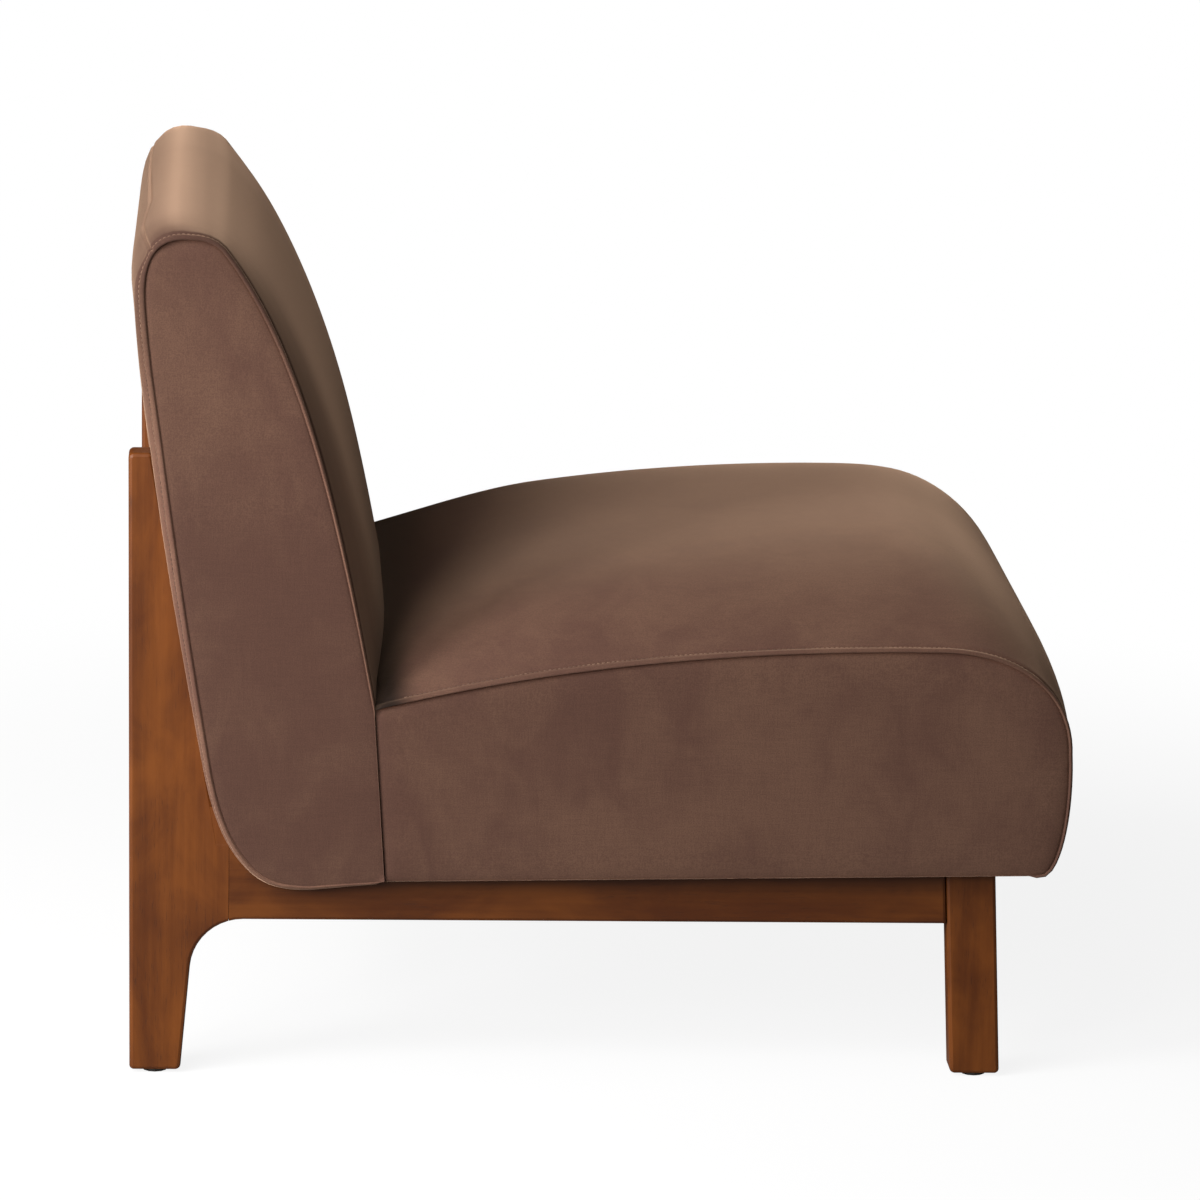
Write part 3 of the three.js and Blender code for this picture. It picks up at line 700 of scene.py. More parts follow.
@dataclass(frozen=True)
class Span:
    """One curve of a side outline, in millimetres.

    The controls are shares of the run and the rise. The swell is at the start, middle and end,
    and the fold is how far the cover rolls out right at the seam, at the start and the end.
    """

    start: Pair
    end: Pair
    controls: tuple[Pair, Pair]
    swell: Triple
    roll: Pair
    fold: Pair = (0.0, 0.0)
    lap: float = 1.0
    extra: tuple[float, ...] = ()

    def trace(self, shares: np.ndarray) -> tuple[np.ndarray, np.ndarray]:
        """Places and directions along the curve.

        Args:
            shares: from 0 to 1.

        Returns:
            The places and the unit directions, each (n, 2).
        """
        first = np.array(self.start)
        last = np.array(self.end)
        run = last - first
        second, third = (first + run * np.array(c) for c in self.controls)
        t = shares[:, None]
        u = 1 - t
        places = u**3 * first + 3 * u * u * t * second + 3 * u * t * t * third + t**3 * last
        ahead = 3 * u * u * (second - first) + 6 * u * t * (third - second) + 3 * t * t * (last - third)
        return places, ahead / np.linalg.norm(ahead, axis=1)[:, None]

    def shares(self, step: float) -> np.ndarray:
        """Shares that lie a step apart along the curve, its end left out.

        Args:
            step: the step, in millimetres.

        Returns:
            The shares, from 0 up, with the extra ones among them.
        """
        fine = np.linspace(0, 1, 401)
        length = run_length(self.trace(fine)[0])
        count = max(2, round(length[-1] / step))
        even = np.interp(np.arange(count) / count * length[-1], length, fine)
        return np.sort(np.concatenate([even, self.extra]))

    def swells(self, shares: np.ndarray) -> np.ndarray:
        """The swell at each share, on a parabola through its three values."""
        a, b, c = self.swell
        left = 1 - shares
        return a * left * (1 - 2 * shares) + 4 * b * shares * left + c * shares * (2 * shares - 1)

    @staticmethod
    def between(ends: Pair, shares: np.ndarray) -> np.ndarray:
        """A value at each share that changes evenly from one end to the other."""
        return ends[0] + (ends[1] - ends[0]) * shares


STRAIGHT: tuple[Pair, Pair] = ((1 / 3, 1 / 3), (2 / 3, 2 / 3))


@dataclass
class Outline:
    """A side outline sampled along its length."""

    spans: tuple[Span, ...]
    step: float
    blend: float = 22.0
    at: np.ndarray = field(init=False)
    normal: np.ndarray = field(init=False)
    swell: np.ndarray = field(init=False)
    roll: np.ndarray = field(init=False)
    fold: np.ndarray = field(init=False)
    lap: np.ndarray = field(init=False)
    order: np.ndarray = field(init=False)

    def __post_init__(self) -> None:
        """Samples every span, and blends swell, roll and fold from span to span."""
        samples = []
        for number, span in enumerate(self.spans):
            shares = span.shares(self.step)
            roll, fold = span.between(span.roll, shares), span.between(span.fold, shares)
            lap = np.full(len(shares), span.lap)
            samples.append((*span.trace(shares), span.swells(shares), roll, fold, lap, number + shares))
        self.at, ahead, swell, roll, fold, lap, self.order = (np.concatenate(part) for part in zip(*samples))
        self.normal = np.column_stack([ahead[:, 1], -ahead[:, 0]])
        self.lap = sum(np.roll(lap, shift) for shift in range(-2, 3)) / 5 * (lap > 0)
        self.swell, self.roll, self.fold = (self.blended(values, lap > 0) for values in (swell, roll, fold))

    def blended(self, values: np.ndarray, seamed: np.ndarray) -> np.ndarray:
        """Averages values with their neighbours along the seam.

        Args:
            values: one value a row.
            seamed: which rows have a seam.

        Returns:
            The values, averaged in the seamed rows.
        """
        length = self.length[seamed]
        weight = np.exp(-(((length[:, None] - length[None, :]) / self.blend) ** 2) / 2)
        soft = values.copy()
        soft[seamed] = weight @ values[seamed] / weight.sum(1)
        return soft

    def rows(self, number: int) -> np.ndarray:
        """The rows of one span."""
        return np.flatnonzero(self.order.astype(int) == number)

    @property
    def length(self) -> np.ndarray:
        """The distance of each row along the outline."""
        return run_length(self.at)


@dataclass(frozen=True)
class Seam:
    """A lapped seam: the band's folded edge stands over the side panel and is stitched down."""

    from_edge: tuple[float, ...] = (0, 0.5, 1.0, 1.8, 3.0, 4.2, 5.0, 5.6, 6.2, 7.2, 9.0, 12.0, 16.0)
    height: tuple[float, ...] = (-0.7, 0.2, 0.5, 0.9, 0.9, 0.3, -0.5, -0.8, -0.4, 0.25, 0.3, 0.1, 0.0)
    over: tuple[float, ...] = (0, 0.45, 0.6, 0.4, 0.1, 0.0)
    drop: float = 0.7
    drop_reach: float = 2.0
    stitch: float = 5.6

    def lift(self, away: np.ndarray) -> np.ndarray:
        """How far the band stands proud at a distance from its edge."""
        return np.interp(away, self.from_edge, self.height)

    def reach(self, away: np.ndarray) -> np.ndarray:
        """How far the fold reaches out sideways at a distance from its edge."""
        return np.interp(away, self.from_edge[: len(self.over)], self.over)


@dataclass(frozen=True)
class Base:
    """The room that the wood takes under and behind the body, in millimetres."""

    rail_top: float = 206.0
    sheet_top: float = 207.45
    board_inner: float = 285.0
    board_outer: float = 315.0
    leg_front: float = 756.4
    post_height: float = 547.0
    post_shoulder: float = 76.0
    post_top: float = 17.0
    gap: float = 0.6

    def post_front(self, height: np.ndarray) -> np.ndarray:
        """The front edge of the posts at a height."""
        rise = (np.asarray(height, float) - self.rail_top) / (self.post_height - self.rail_top)
        return self.post_shoulder + (self.post_top - self.post_shoulder) * rise

    def between_sides(self, across: np.ndarray) -> np.ndarray:
        """1 between the outer faces of the side boards, and 0 past them."""
        return smooth_step(self.board_outer + 2.2, self.board_outer + 0.5, np.abs(across))

    def over_board(self, across: np.ndarray) -> np.ndarray:
        """1 where a place across the chair lies over a side board."""
        inner = smooth_step(self.board_inner - 9, self.board_inner - 0.5, np.abs(across))
        return inner * self.between_sides(across)

    def clear(self, points: np.ndarray) -> np.ndarray:
        """Lifts points off the dust cover and moves them off the posts.

        Args:
            points: (..., 3) millimetres forward, across and up.

        Returns:
            The cleared points.
        """
        x, y, z = np.moveaxis(points, -1, 0)
        behind = smooth_step(self.leg_front + 1.0, self.leg_front - 0.2, x)
        z = z + np.maximum(0, self.sheet_top - z) * self.between_sides(y) * behind
        beside = self.over_board(y) * smooth_step(self.post_height + 22, self.post_height + 2, z)
        need = self.post_front(z) + self.gap
        x = x + np.maximum(0, need - x) * beside * (z > self.rail_top)
        return np.stack([x, y, z], axis=-1)


@dataclass
class Cushion:
    """An upholstered form between two flat sides, with a lapped seam round each side."""

    name: str
    outline: Outline
    half: float = 330.0
    spacing: float = 10.0
    seam: Seam = field(default_factory=Seam)
    base: Base = field(default_factory=Base)
    edge: tuple[float, ...] = (
        0, 0.5, 1.0, 1.8, 3.0, 4.2, 5.0, 5.6, 6.2, 7.2, 9.0, 10.8, 12.6, 14.6, 18, 23, 30, 38, 44.5, 50, 58,
    )
    fold_depth: float = 0.9
    fold_end: float = 12.6
    hollow: float = 0.8
    hollow_reach: float = 11.0
    rings: tuple[float, ...] = (0.8, 1.7, 2.8, 4.2, 6.2, 9.0, 13.0)
    pitch: float = 9.0
    row_pitch: float = 0.87
    clearance: float = 4.0
    least: float = 0.8
    band: np.ndarray = field(init=False)

    @property
    def away(self) -> np.ndarray:
        """The stations across the cushion.

        Returns:
            The distance of each one from the nearer seam.
        """
        middle = self.half - self.edge[-1]
        count = round(2 * middle / self.spacing)
        inner = self.edge[-1] + middle - np.abs(np.linspace(-middle, middle, count + 1)[1:-1])
        edge = np.array(self.edge)
        return np.concatenate([edge, inner, edge[::-1]])

    @property
    def across(self) -> np.ndarray:
        """The places of the stations.

        Returns:
            The place of each one across the chair.
        """
        away = self.away
        sign = np.where(np.arange(len(away)) < len(away) / 2, -1.0, 1.0)
        return sign * (self.half - away)

    def folded(self) -> tuple[np.ndarray, np.ndarray]:
        """How the cover rolls out at the seam, along a quarter of an oval.

        Returns:
            The share of the fold's height and the way in from the side, each (rows, stations).
        """
        away = self.away[None, :]
        height = self.outline.fold[:, None]
        deep = height * self.fold_depth
        arc = np.maximum(math.pi / 4 * (height + deep), 1e-6)
        along = away + (arc - deep) * smooth_step(self.seam.stitch, self.fold_end, away)
        turn = np.clip(along / arc, 0, 1) * math.pi / 2
        return np.sin(turn), deep * (1 - np.cos(turn)) + np.maximum(0, along - arc)

    def grid(self, inset: float = 0.0) -> np.ndarray:
        """The band round the form, (rows, stations, 3), before its seams are laid in.

        Args:
            inset: how far the form is shrunk.

        Returns:
            Millimetres forward, across and up.
        """
        line = self.outline
        rise, inward = self.folded()
        rim, fold = self.rim_shift()[:, None], line.fold[:, None]
        share = np.maximum(1 - inward / self.half, 0)
        out = rim + fold * rise + (line.swell[:, None] - fold - rim) * (1 - share ** line.roll[:, None])
        out = out + self.shaping() - inset
        x = line.at[:, :1] + line.normal[:, :1] * out
        z = line.at[:, 1:] + line.normal[:, 1:] * out
        y = np.sign(self.across)[None, :] * share * (self.width(z) - inset)
        return np.stack([x, y, z], axis=-1)

    def width(self, height: np.ndarray) -> np.ndarray:
        """Half the width at a height."""
        return np.full_like(height, self.half)

    def shaping(self) -> np.ndarray:
        """Extra swell of a certain cushion, (rows, stations)."""
        return np.zeros((len(self.outline.at), len(self.away)))

    def rim_shift(self) -> np.ndarray:
        """How far the seam lies outside the outline, row by row."""
        return np.zeros(len(self.outline.at))

    def fit(self, grid: np.ndarray) -> np.ndarray:
        """Fits the band to its neighbours."""
        return self.base.clear(grid)

    def sew(self, grid: np.ndarray) -> np.ndarray:
        """Lays the lapped seams into the band.

        Args:
            grid: the fitted band.

        Returns:
            The band with its folded edges, grooves and recessed rim.
        """
        away = self.away
        lap = self.outline.lap[:, None]
        lift = self.seam.lift(away)[None, :] * lap
        over = self.seam.reach(away)[None, :] * lap * (1 - self.outline.fold[:, None] / 20)
        drop = (away == 0)[None, :] * (self.rim_drop() + self.rim_hollow())[:, None]
        sewn = grid + self.facing(grid) * lift[..., None]
        sewn[..., 1] += np.sign(self.across)[None, :] * (over - drop)
        return sewn

    def facing(self, grid: np.ndarray) -> np.ndarray:
        """The way out of the cover.

        Args:
            grid: the band.

        Returns:
            The unit direction at each point of the band.
        """
        along = np.roll(grid, -1, 0) - np.roll(grid, 1, 0)
        normal = np.cross(np.gradient(grid, axis=1), along)
        normal /= np.maximum(np.linalg.norm(normal, axis=-1), 1e-9)[..., None]
        outline = self.outline.normal
        outward = (normal[..., 0] * outline[:, :1] + normal[..., 2] * outline[:, 1:]).sum()
        return normal * np.sign(outward)

    def rim_drop(self) -> np.ndarray:
        """How deep the side panel lies under the folded edge, row by row."""
        return self.seam.drop * (0.45 + 0.55 * self.outline.lap)

    def rim_hollow(self) -> np.ndarray:
        """How far the side panel is set in at the seam, row by row."""
        return np.full(len(self.outline.at), self.hollow)

    def panel(self, ring: np.ndarray) -> tuple[np.ndarray, Faces, np.ndarray, np.ndarray]:
        """Fills a side.

        Args:
            ring: the rim's places forward and up, (rows, 2).

        Returns:
            The new places forward and up, the triangles over rim and new places, each new place's
            distance from the rim, and the row of the rim nearest to it.
        """
        count = len(ring)
        loops = [ring - self.ring_normal(ring) * depth for depth in self.rings]
        low, high = ring.min(0) + self.pitch / 2, ring.max(0)
        xs = np.arange(low[0], high[0], self.pitch)
        zs = np.arange(low[1], high[1], self.pitch * self.row_pitch)
        fill = np.array([(x + (k % 2) * self.pitch / 2, z) for k, z in enumerate(zs) for x in xs])
        away, _ = self.to_rim(fill, ring)
        fill = fill[(away > self.rings[-1] + self.clearance) & self.within(fill, ring)]
        inner = np.concatenate([*loops, fill])
        away, row = self.to_rim(inner, ring)
        wanted = np.repeat(self.rings, count)
        good = np.ones(len(inner), bool)
        good[: len(wanted)] = away[: len(wanted)] > self.least * wanted
        good &= self.within(inner, ring)
        inner, away, row = inner[good], away[good], row[good]
        places = np.concatenate([ring, inner])
        edges = [(i, (i + 1) % count) for i in range(count)]
        made = delaunay_2d_cdt([Vector(p) for p in places], edges, [], 1, 1e-5)
        origin = [ids[0] for ids in made[3]]
        faces = [tuple(origin[i] for i in face) for face in made[2]]
        return inner, faces, away, row

    @staticmethod
    def ring_normal(ring: np.ndarray) -> np.ndarray:
        """The ways out of a ring.

        Args:
            ring: a closed ring that turns to the left.

        Returns:
            The outward unit normal at each of its points.
        """
        along = np.roll(ring, -1, 0) - np.roll(ring, 1, 0)
        along /= np.linalg.norm(along, axis=1)[:, None]
        return np.column_stack([along[:, 1], -along[:, 0]])

    @staticmethod
    def to_rim(points: np.ndarray, ring: np.ndarray) -> tuple[np.ndarray, np.ndarray]:
        """Measures from points to a ring.

        Args:
            points: (n, 2) places.
            ring: the closed ring.

        Returns:
            The distance of each point, and the row of the ring that is nearest to it.
        """
        batch = 2000
        step = np.roll(ring, -1, 0) - ring
        size = np.maximum((step**2).sum(1), 1e-9)
        best = np.full(len(points), 1e9)
        row = np.zeros(len(points), int)
        for i in range(0, len(points), batch):
            part = points[i : i + batch, None, :] - ring[None]
            share = np.clip((part * step[None]).sum(2) / size[None], 0, 1)
            gap = np.linalg.norm(part - share[..., None] * step[None], axis=2)
            row[i : i + batch] = gap.argmin(1)
            best[i : i + batch] = gap.min(1)
        return best, row

    @staticmethod
    def within(points: np.ndarray, ring: np.ndarray) -> np.ndarray:
        """Tells which points lie inside a ring.

        Args:
            points: (n, 2) places.
            ring: the closed ring.

        Returns:
            Whether each point lies inside.
        """
        x, z = points[:, :1], points[:, 1:]
        x0, z0 = ring[:, 0], ring[:, 1]
        x1, z1 = np.roll(x0, -1), np.roll(z0, -1)
        spans = (z0 > z) != (z1 > z)
        rise = np.where(z1 == z0, 1e-9, z1 - z0)
        crossing = x < (x1 - x0) * (z - z0) / rise + x0
        return (spans & crossing).sum(1) % 2 == 1

    def panel_depth(self, away: np.ndarray, row: np.ndarray) -> np.ndarray:
        """How far the side panel lies in at a distance from the rim, by the nearest row."""
        drop = self.rim_drop()[row] * np.exp(-away / self.seam.drop_reach)
        return drop + self.rim_hollow()[row] * np.exp(-away / self.hollow_reach)

    def closed(self, grid: np.ndarray) -> tuple[np.ndarray, Faces, np.ndarray]:
        """The whole closed form.

        Args:
            grid: the sewn band.

        Returns:
            The points in millimetres, the faces, and for each face 0 on the band or 1 on a side.
        """
        rows, stations, _ = grid.shape
        total = rows * stations
        numbers = np.arange(total).reshape(rows, stations)
        faces = quads(np.vstack([numbers, numbers[:1]]))
        banded = len(faces)
        points = [grid.reshape(-1, 3)]
        inner, flat, away, row = self.panel(grid[:, 0, :][:, [0, 2]])
        depth = self.panel_depth(away, row)
        for sign, station in ((-1, 0), (1, stations - 1)):
            side = np.column_stack([inner[:, 0], sign * (self.width(inner[:, 1]) - depth), inner[:, 1]])
            points.append(side)
            for face in flat:
                corners = [i * stations + station if i < rows else total + i - rows for i in face]
                faces.append(tuple(corners) if sign < 0 else tuple(corners[::-1]))
            total += len(inner)
        self.band = grid
        picks = np.concatenate([np.zeros(banded), np.ones(len(faces) - banded)])
        return np.concatenate(points), faces, picks


@dataclass(frozen=True)
class Stuffing:
    """Cloth simulation of a form that is stuffed tight, from a slightly smaller shape."""

    inset: float = 3.0
    voxel: float = 7.0
    pressure: float = 4.0
    frames: int = 20
    cap: float = 24.0
    kept: float = 0.8

    def run(self, name: str, points: np.ndarray, faces: Faces) -> BVHTree:
        """Fills the form.

        Args:
            name: the cushion's name.
            points: the smaller closed form, in metres.
            faces: its faces.

        Returns:
            The filled surface.
        """
        scene = bpy.context.scene
        form = make_mesh(name + "_form", points, faces, [])
        remesh = form.modifiers.new("Remesh", "REMESH")
        remesh.mode = "VOXEL"
        remesh.voxel_size = self.voxel * MM
        bpy.context.view_layer.objects.active = form
        bpy.ops.object.modifier_apply(modifier=remesh.name)
        start = self.places(form.data)
        cloth = form.modifiers.new("Cloth", "CLOTH")
        settings = {
            "quality": 4, "mass": 0.3, "tension_stiffness": 15, "compression_stiffness": 15, "shear_stiffness": 8,
            "bending_stiffness": 1.5, "use_pressure": True, "uniform_pressure_force": self.pressure,
        }
        for key, value in settings.items():
            setattr(cloth.settings, key, value)
        cloth.settings.effector_weights.gravity = 0
        cloth.point_cache.frame_start = 1
        cloth.point_cache.frame_end = self.frames
        for number in range(1, self.frames + 1):
            scene.frame_set(number)
        graph = bpy.context.evaluated_depsgraph_get()
        filled = form.evaluated_get(graph).to_mesh()
        move = self.places(filled) - start
        size = np.maximum(np.linalg.norm(move, axis=1), 1e-9)
        move *= (np.minimum(size, self.cap * MM) / size)[:, None]
        surface = BVHTree.FromPolygons(
            [tuple(p) for p in start + move], [tuple(face.vertices) for face in filled.polygons]
        )
        LOG.info("%s filled: %d points moved %.1f mm on average", name, len(start), size.mean() / MM)
        mesh = form.data
        bpy.data.objects.remove(form)
        bpy.data.meshes.remove(mesh)
        scene.frame_set(1)
        return surface

    @staticmethod
    def places(mesh: bpy.types.Mesh) -> np.ndarray:
        """Reads the points of a mesh.

        Args:
            mesh: the mesh.

        Returns:
            Their places, (n, 3).
        """
        values = np.zeros(len(mesh.vertices) * 3)
        mesh.vertices.foreach_get("co", values)
        return values.reshape(-1, 3)


# The two cushions


@dataclass(frozen=True)
class BodyLines:
    """Corners of the two side outlines at the seams, in millimetres forward and up."""

    foot: Pair = (219, 175)
    crease: Pair = (208, 327)
    hem_front: Pair = (785, 184)
    nose_low: Pair = (809, 292)
    nose_high: Pair = (694, 382)
    brow: Pair = (75.5, 722.5)
    top: Pair = (48.5, 732)
    shoulder: Pair = (9.5, 687.5)
    waist: Pair = (62, 290)
    hem_rear: Pair = (140, 172)
    step: float = 7.0
    top_seam: float = 0.534

    def seat(self, leg_front: float) -> Outline:
        """The seat's outline, from the foot of its junction with the back.

        Args:
            leg_front: how far forward the front legs reach under the seat.

        Returns:
            The outline.
        """
        run = self.hem_front[0] - self.foot[0]
        at_leg = [(leg_front + shift - self.foot[0]) / run for shift in (-1.2, 1.2)]
        under, nose = ((0.875, -0.04), (1.125, 0.61)), ((0, 0.6), (0.383, 1))
        top = ((0.362, -0.024), (0.695, 0.309))
        return Outline((
            Span(self.foot, self.hem_front, STRAIGHT, (0, 0, 0), (6, 6), lap=0.0, extra=tuple(at_leg)),
            Span(self.hem_front, self.nose_low, under, (0, 13.6, 1.8), (6.7, 10.6), (1.0, 2.2)),
            Span(self.nose_low, self.nose_high, nose, (1.8, 20.0, 70.8), (10.6, 3.0), (2.2, 1.4)),
            Span(self.nose_high, self.crease, top, (71.3, 64.0, 56.4), (3.0, 6.2), (1.4, 0.8)),
            Span(self.crease, self.foot, STRAIGHT, (56.4, 0, 0), (6.2, 6.2), lap=0.0),
        ), self.step)

    def back(self) -> Outline:
        """The back's outline, from the foot of its junction with the seat.

        Returns:
            The outline.
        """
        near = [self.top_seam + shift / 62 for shift in range(-8, 9)]
        front, brow = ((0.21, 0.36), (0.45, 0.766)), ((0.222, 0.7), (0.556, 1.03))
        top, rear = ((0.65, -0.05), (0.98, 0.28)), ((0, 0.125), (0.68, 0.725))
        corner = ((0.1, 0.42), (0.295, 1))
        return Outline((
            Span(self.foot, self.crease, STRAIGHT, (0, 10, 20), (3.6, 3.6), lap=0.0),
            Span(self.crease, self.brow, front, (20, 16.9, 8.6), (3.6, 12.9), (0, 3.6)),
            Span(self.brow, self.top, brow, (8.6, 0.4, 6.4), (12.9, 11.2), (3.6, 4.0)),
            Span(self.top, self.shoulder, top, (6.4, 15.4, 8.4), (11.2, 17.6), (4.0, 6.6), extra=tuple(near)),
            Span(self.shoulder, self.waist, rear, (8.4, 11.4, 2.1), (17.6, 14.2), (9.6, 6.6)),
            Span(self.waist, self.hem_rear, corner, (2.1, 1, 0), (14.2, 14.2), (6.6, 5.0)),
            Span(self.hem_rear, self.foot, STRAIGHT, (0, 0, 0), (14.2, 14.2), (5.4, 2.0), lap=0.0),
        ), self.step)


@dataclass
class BackCushion(Cushion):
    """The leaning back, with a seam across behind its top."""

    hollow: float = 0.3
    top_hollow: float = 3.0
    tuck: float = 3.4
    seam_depth: float = 1.6
    narrowing: float = 12.0
    seam_places: tuple[float, ...] = (-330, -220, -125, 60, 330)
    seam_shifts: tuple[float, ...] = (0.5, 1.5, -3.5, 0.5, 3.5)
    rim_places: tuple[float, ...] = (1.0, 1.3, 3.2, 3.7, 4.1, 4.25, 4.4, 4.7, 5.0, 5.65, 5.86, 6.15, 6.6, 7.0)
    rim_shifts: tuple[float, ...] = (0, -0.8, -0.8, -0.4, -0.6, -0.8, -2.0, -2.2, -3.8, -3.4, -0.6, 2.2, 0.8, 0)
    worn_corner: float = 5.0
    worn_along: tuple[float, float, float, float] = (-290, -70, 15, 110)

    def rim_shift(self) -> np.ndarray:
        """How far the seam lies outside the outline, from the shoulder down and under."""
        return np.interp(self.outline.order, self.rim_places, self.rim_shifts)

    def shaping(self) -> np.ndarray:
        """A worn upper front corner at the sitter's left, and tucks where the seam behind the top ends.

        Returns:
            The extra swell, (rows, stations).
        """
        side = smooth_step(120, 330, self.across)[None, :]
        length = self.outline.length
        past_brow = length - length[self.outline.rows(2)[0]]
        start, full, fading, end = self.worn_along
        worn = smooth_step(start, full, past_brow) * smooth_step(end, fading, past_brow)
        worn = self.worn_corner * side * worn[:, None]
        near = (smooth_step(80, 20, self.away) * smooth_step(0, 11, self.away))[None, :]
        return -worn - self.tuck * near * hump(self.outline.order, 3.66, 0.17)[:, None]

    def width(self, height: np.ndarray) -> np.ndarray:
        """Half the width at a height: the top is a little narrower than the foot."""
        return self.half - self.narrowing * smooth_step(470, 730, height)

    def rim_hollow(self) -> np.ndarray:
        """Deeper round the top, where the side panel is set in."""
        high = smooth_step(560, 690, self.outline.at[:, 1]) * smooth_step(3.7, 3.2, self.outline.order)
        return self.hollow + (self.top_hollow - self.hollow) * high

    def corner(self, grid: np.ndarray) -> Line:
        """The lower rear corner over a side board.

        Args:
            grid: the fitted band.

        Returns:
            Its forward places and heights, from the lowest up.
        """
        rows = np.concatenate([self.outline.rows(4), self.outline.rows(5)])
        place = self.half - self.away
        near = (place < self.base.board_outer) & (place > self.base.board_inner)
        x, _, z = np.moveaxis(grid[rows][:, near].min(1), -1, 0)
        last = int(np.argmax(z < self.base.sheet_top + 0.05)) + 1
        return x[:last][::-1], z[:last][::-1]

    def sew(self, grid: np.ndarray) -> np.ndarray:
        """Adds the seam across behind the top.

        Args:
            grid: the fitted band.

        Returns:
            The sewn band.
        """
        sewn = super().sew(grid)
        length = self.outline.length
        rows = self.outline.rows(3)
        place, _ = self.outline.spans[3].trace(np.array([BodyLines.top_seam]))
        nearest = rows[np.linalg.norm(self.outline.at[rows] - place, axis=1).argmin()]
        path = length[nearest] + np.interp(self.across, self.seam_places, self.seam_shifts)
        away = np.abs(length[:, None] - path[None, :])
        lift = 0.35 * hump(away, 2.6, 1.2) - self.seam_depth * hump(away, 0, 1.0)
        lift *= smooth_step(0, 5, self.away)[None, :]
        sewn[..., 0] += self.outline.normal[:, :1] * lift
        sewn[..., 2] += self.outline.normal[:, 1:] * lift
        return sewn

    def front(self, grid: np.ndarray, station: int) -> Line:
        """The forward places and heights of the front at a station, from the foot up."""
        rows = np.concatenate([self.outline.rows(0), self.outline.rows(1)])
        return grid[rows, station, 0], grid[rows, station, 2]


@dataclass
class SeatCushion(Cushion):
    """The crowned seat, whose rear end lies against the front of the back."""

    behind: BackCushion | None = None
    behind_grid: np.ndarray | None = None
    hollow: float = 2.0
    gap: float = 0.6
    crease_drop: float = 12.5
    crease_reach: float = 165.0

    def shaping(self) -> np.ndarray:
        """Lower towards the back, where a sitter presses the seat down.

        Returns:
            The extra swell, (rows, stations).
        """
        length = self.outline.length
        top = self.outline.rows(3)
        near = smooth_step(self.crease_reach, 0, length[top[-1]] - length[top])
        share = np.abs(self.across) / self.half
        shape = super().shaping()
        shape[top] = -self.crease_drop * near[:, None] * (1 - share[None, :] ** self.outline.roll[top, None])
        return shape

    def fit(self, grid: np.ndarray) -> np.ndarray:
        """Ends the top at the back's front and lets the rear end follow the front down.

        Args:
            grid: the band.

        Returns:
            The fitted band.
        """
        grid = super().fit(grid)
        top, rear = self.outline.rows(3), self.outline.rows(4)
        for station in range(grid.shape[1]):
            wall_x, wall_z = self.behind.front(self.behind_grid, station)
            line = np.vstack([grid[top, station], grid[rear[:1], station]])[:, [0, 2]]
            past = line[:, 0] - np.interp(line[:, 1], wall_z, wall_x) - self.gap
            last = int(np.argmax(past < 0)) if (past < 0).any() else len(line) - 1
            share = past[last - 1] / max(past[last - 1] - past[last], 1e-6)
            length = run_length(line)
            reach = length[last - 1] + min(1.0, share) * (length[last] - length[last - 1])
            at = length[:-1] * reach / length[-1]
            grid[top, station, 0] = np.interp(at, length, line[:, 0])
            grid[top, station, 2] = np.interp(at, length, line[:, 1])
            high = float(np.interp(reach, length, line[:, 1]))
            down = np.linspace(high, wall_z[0], len(rear) + 1)
            grid[rear, station, 2] = down[:-1]
            grid[rear, station, 0] = np.interp(down[:-1], wall_z, wall_x) + self.gap
            grid[0, station, 0] = wall_x[0] + self.gap
        return grid


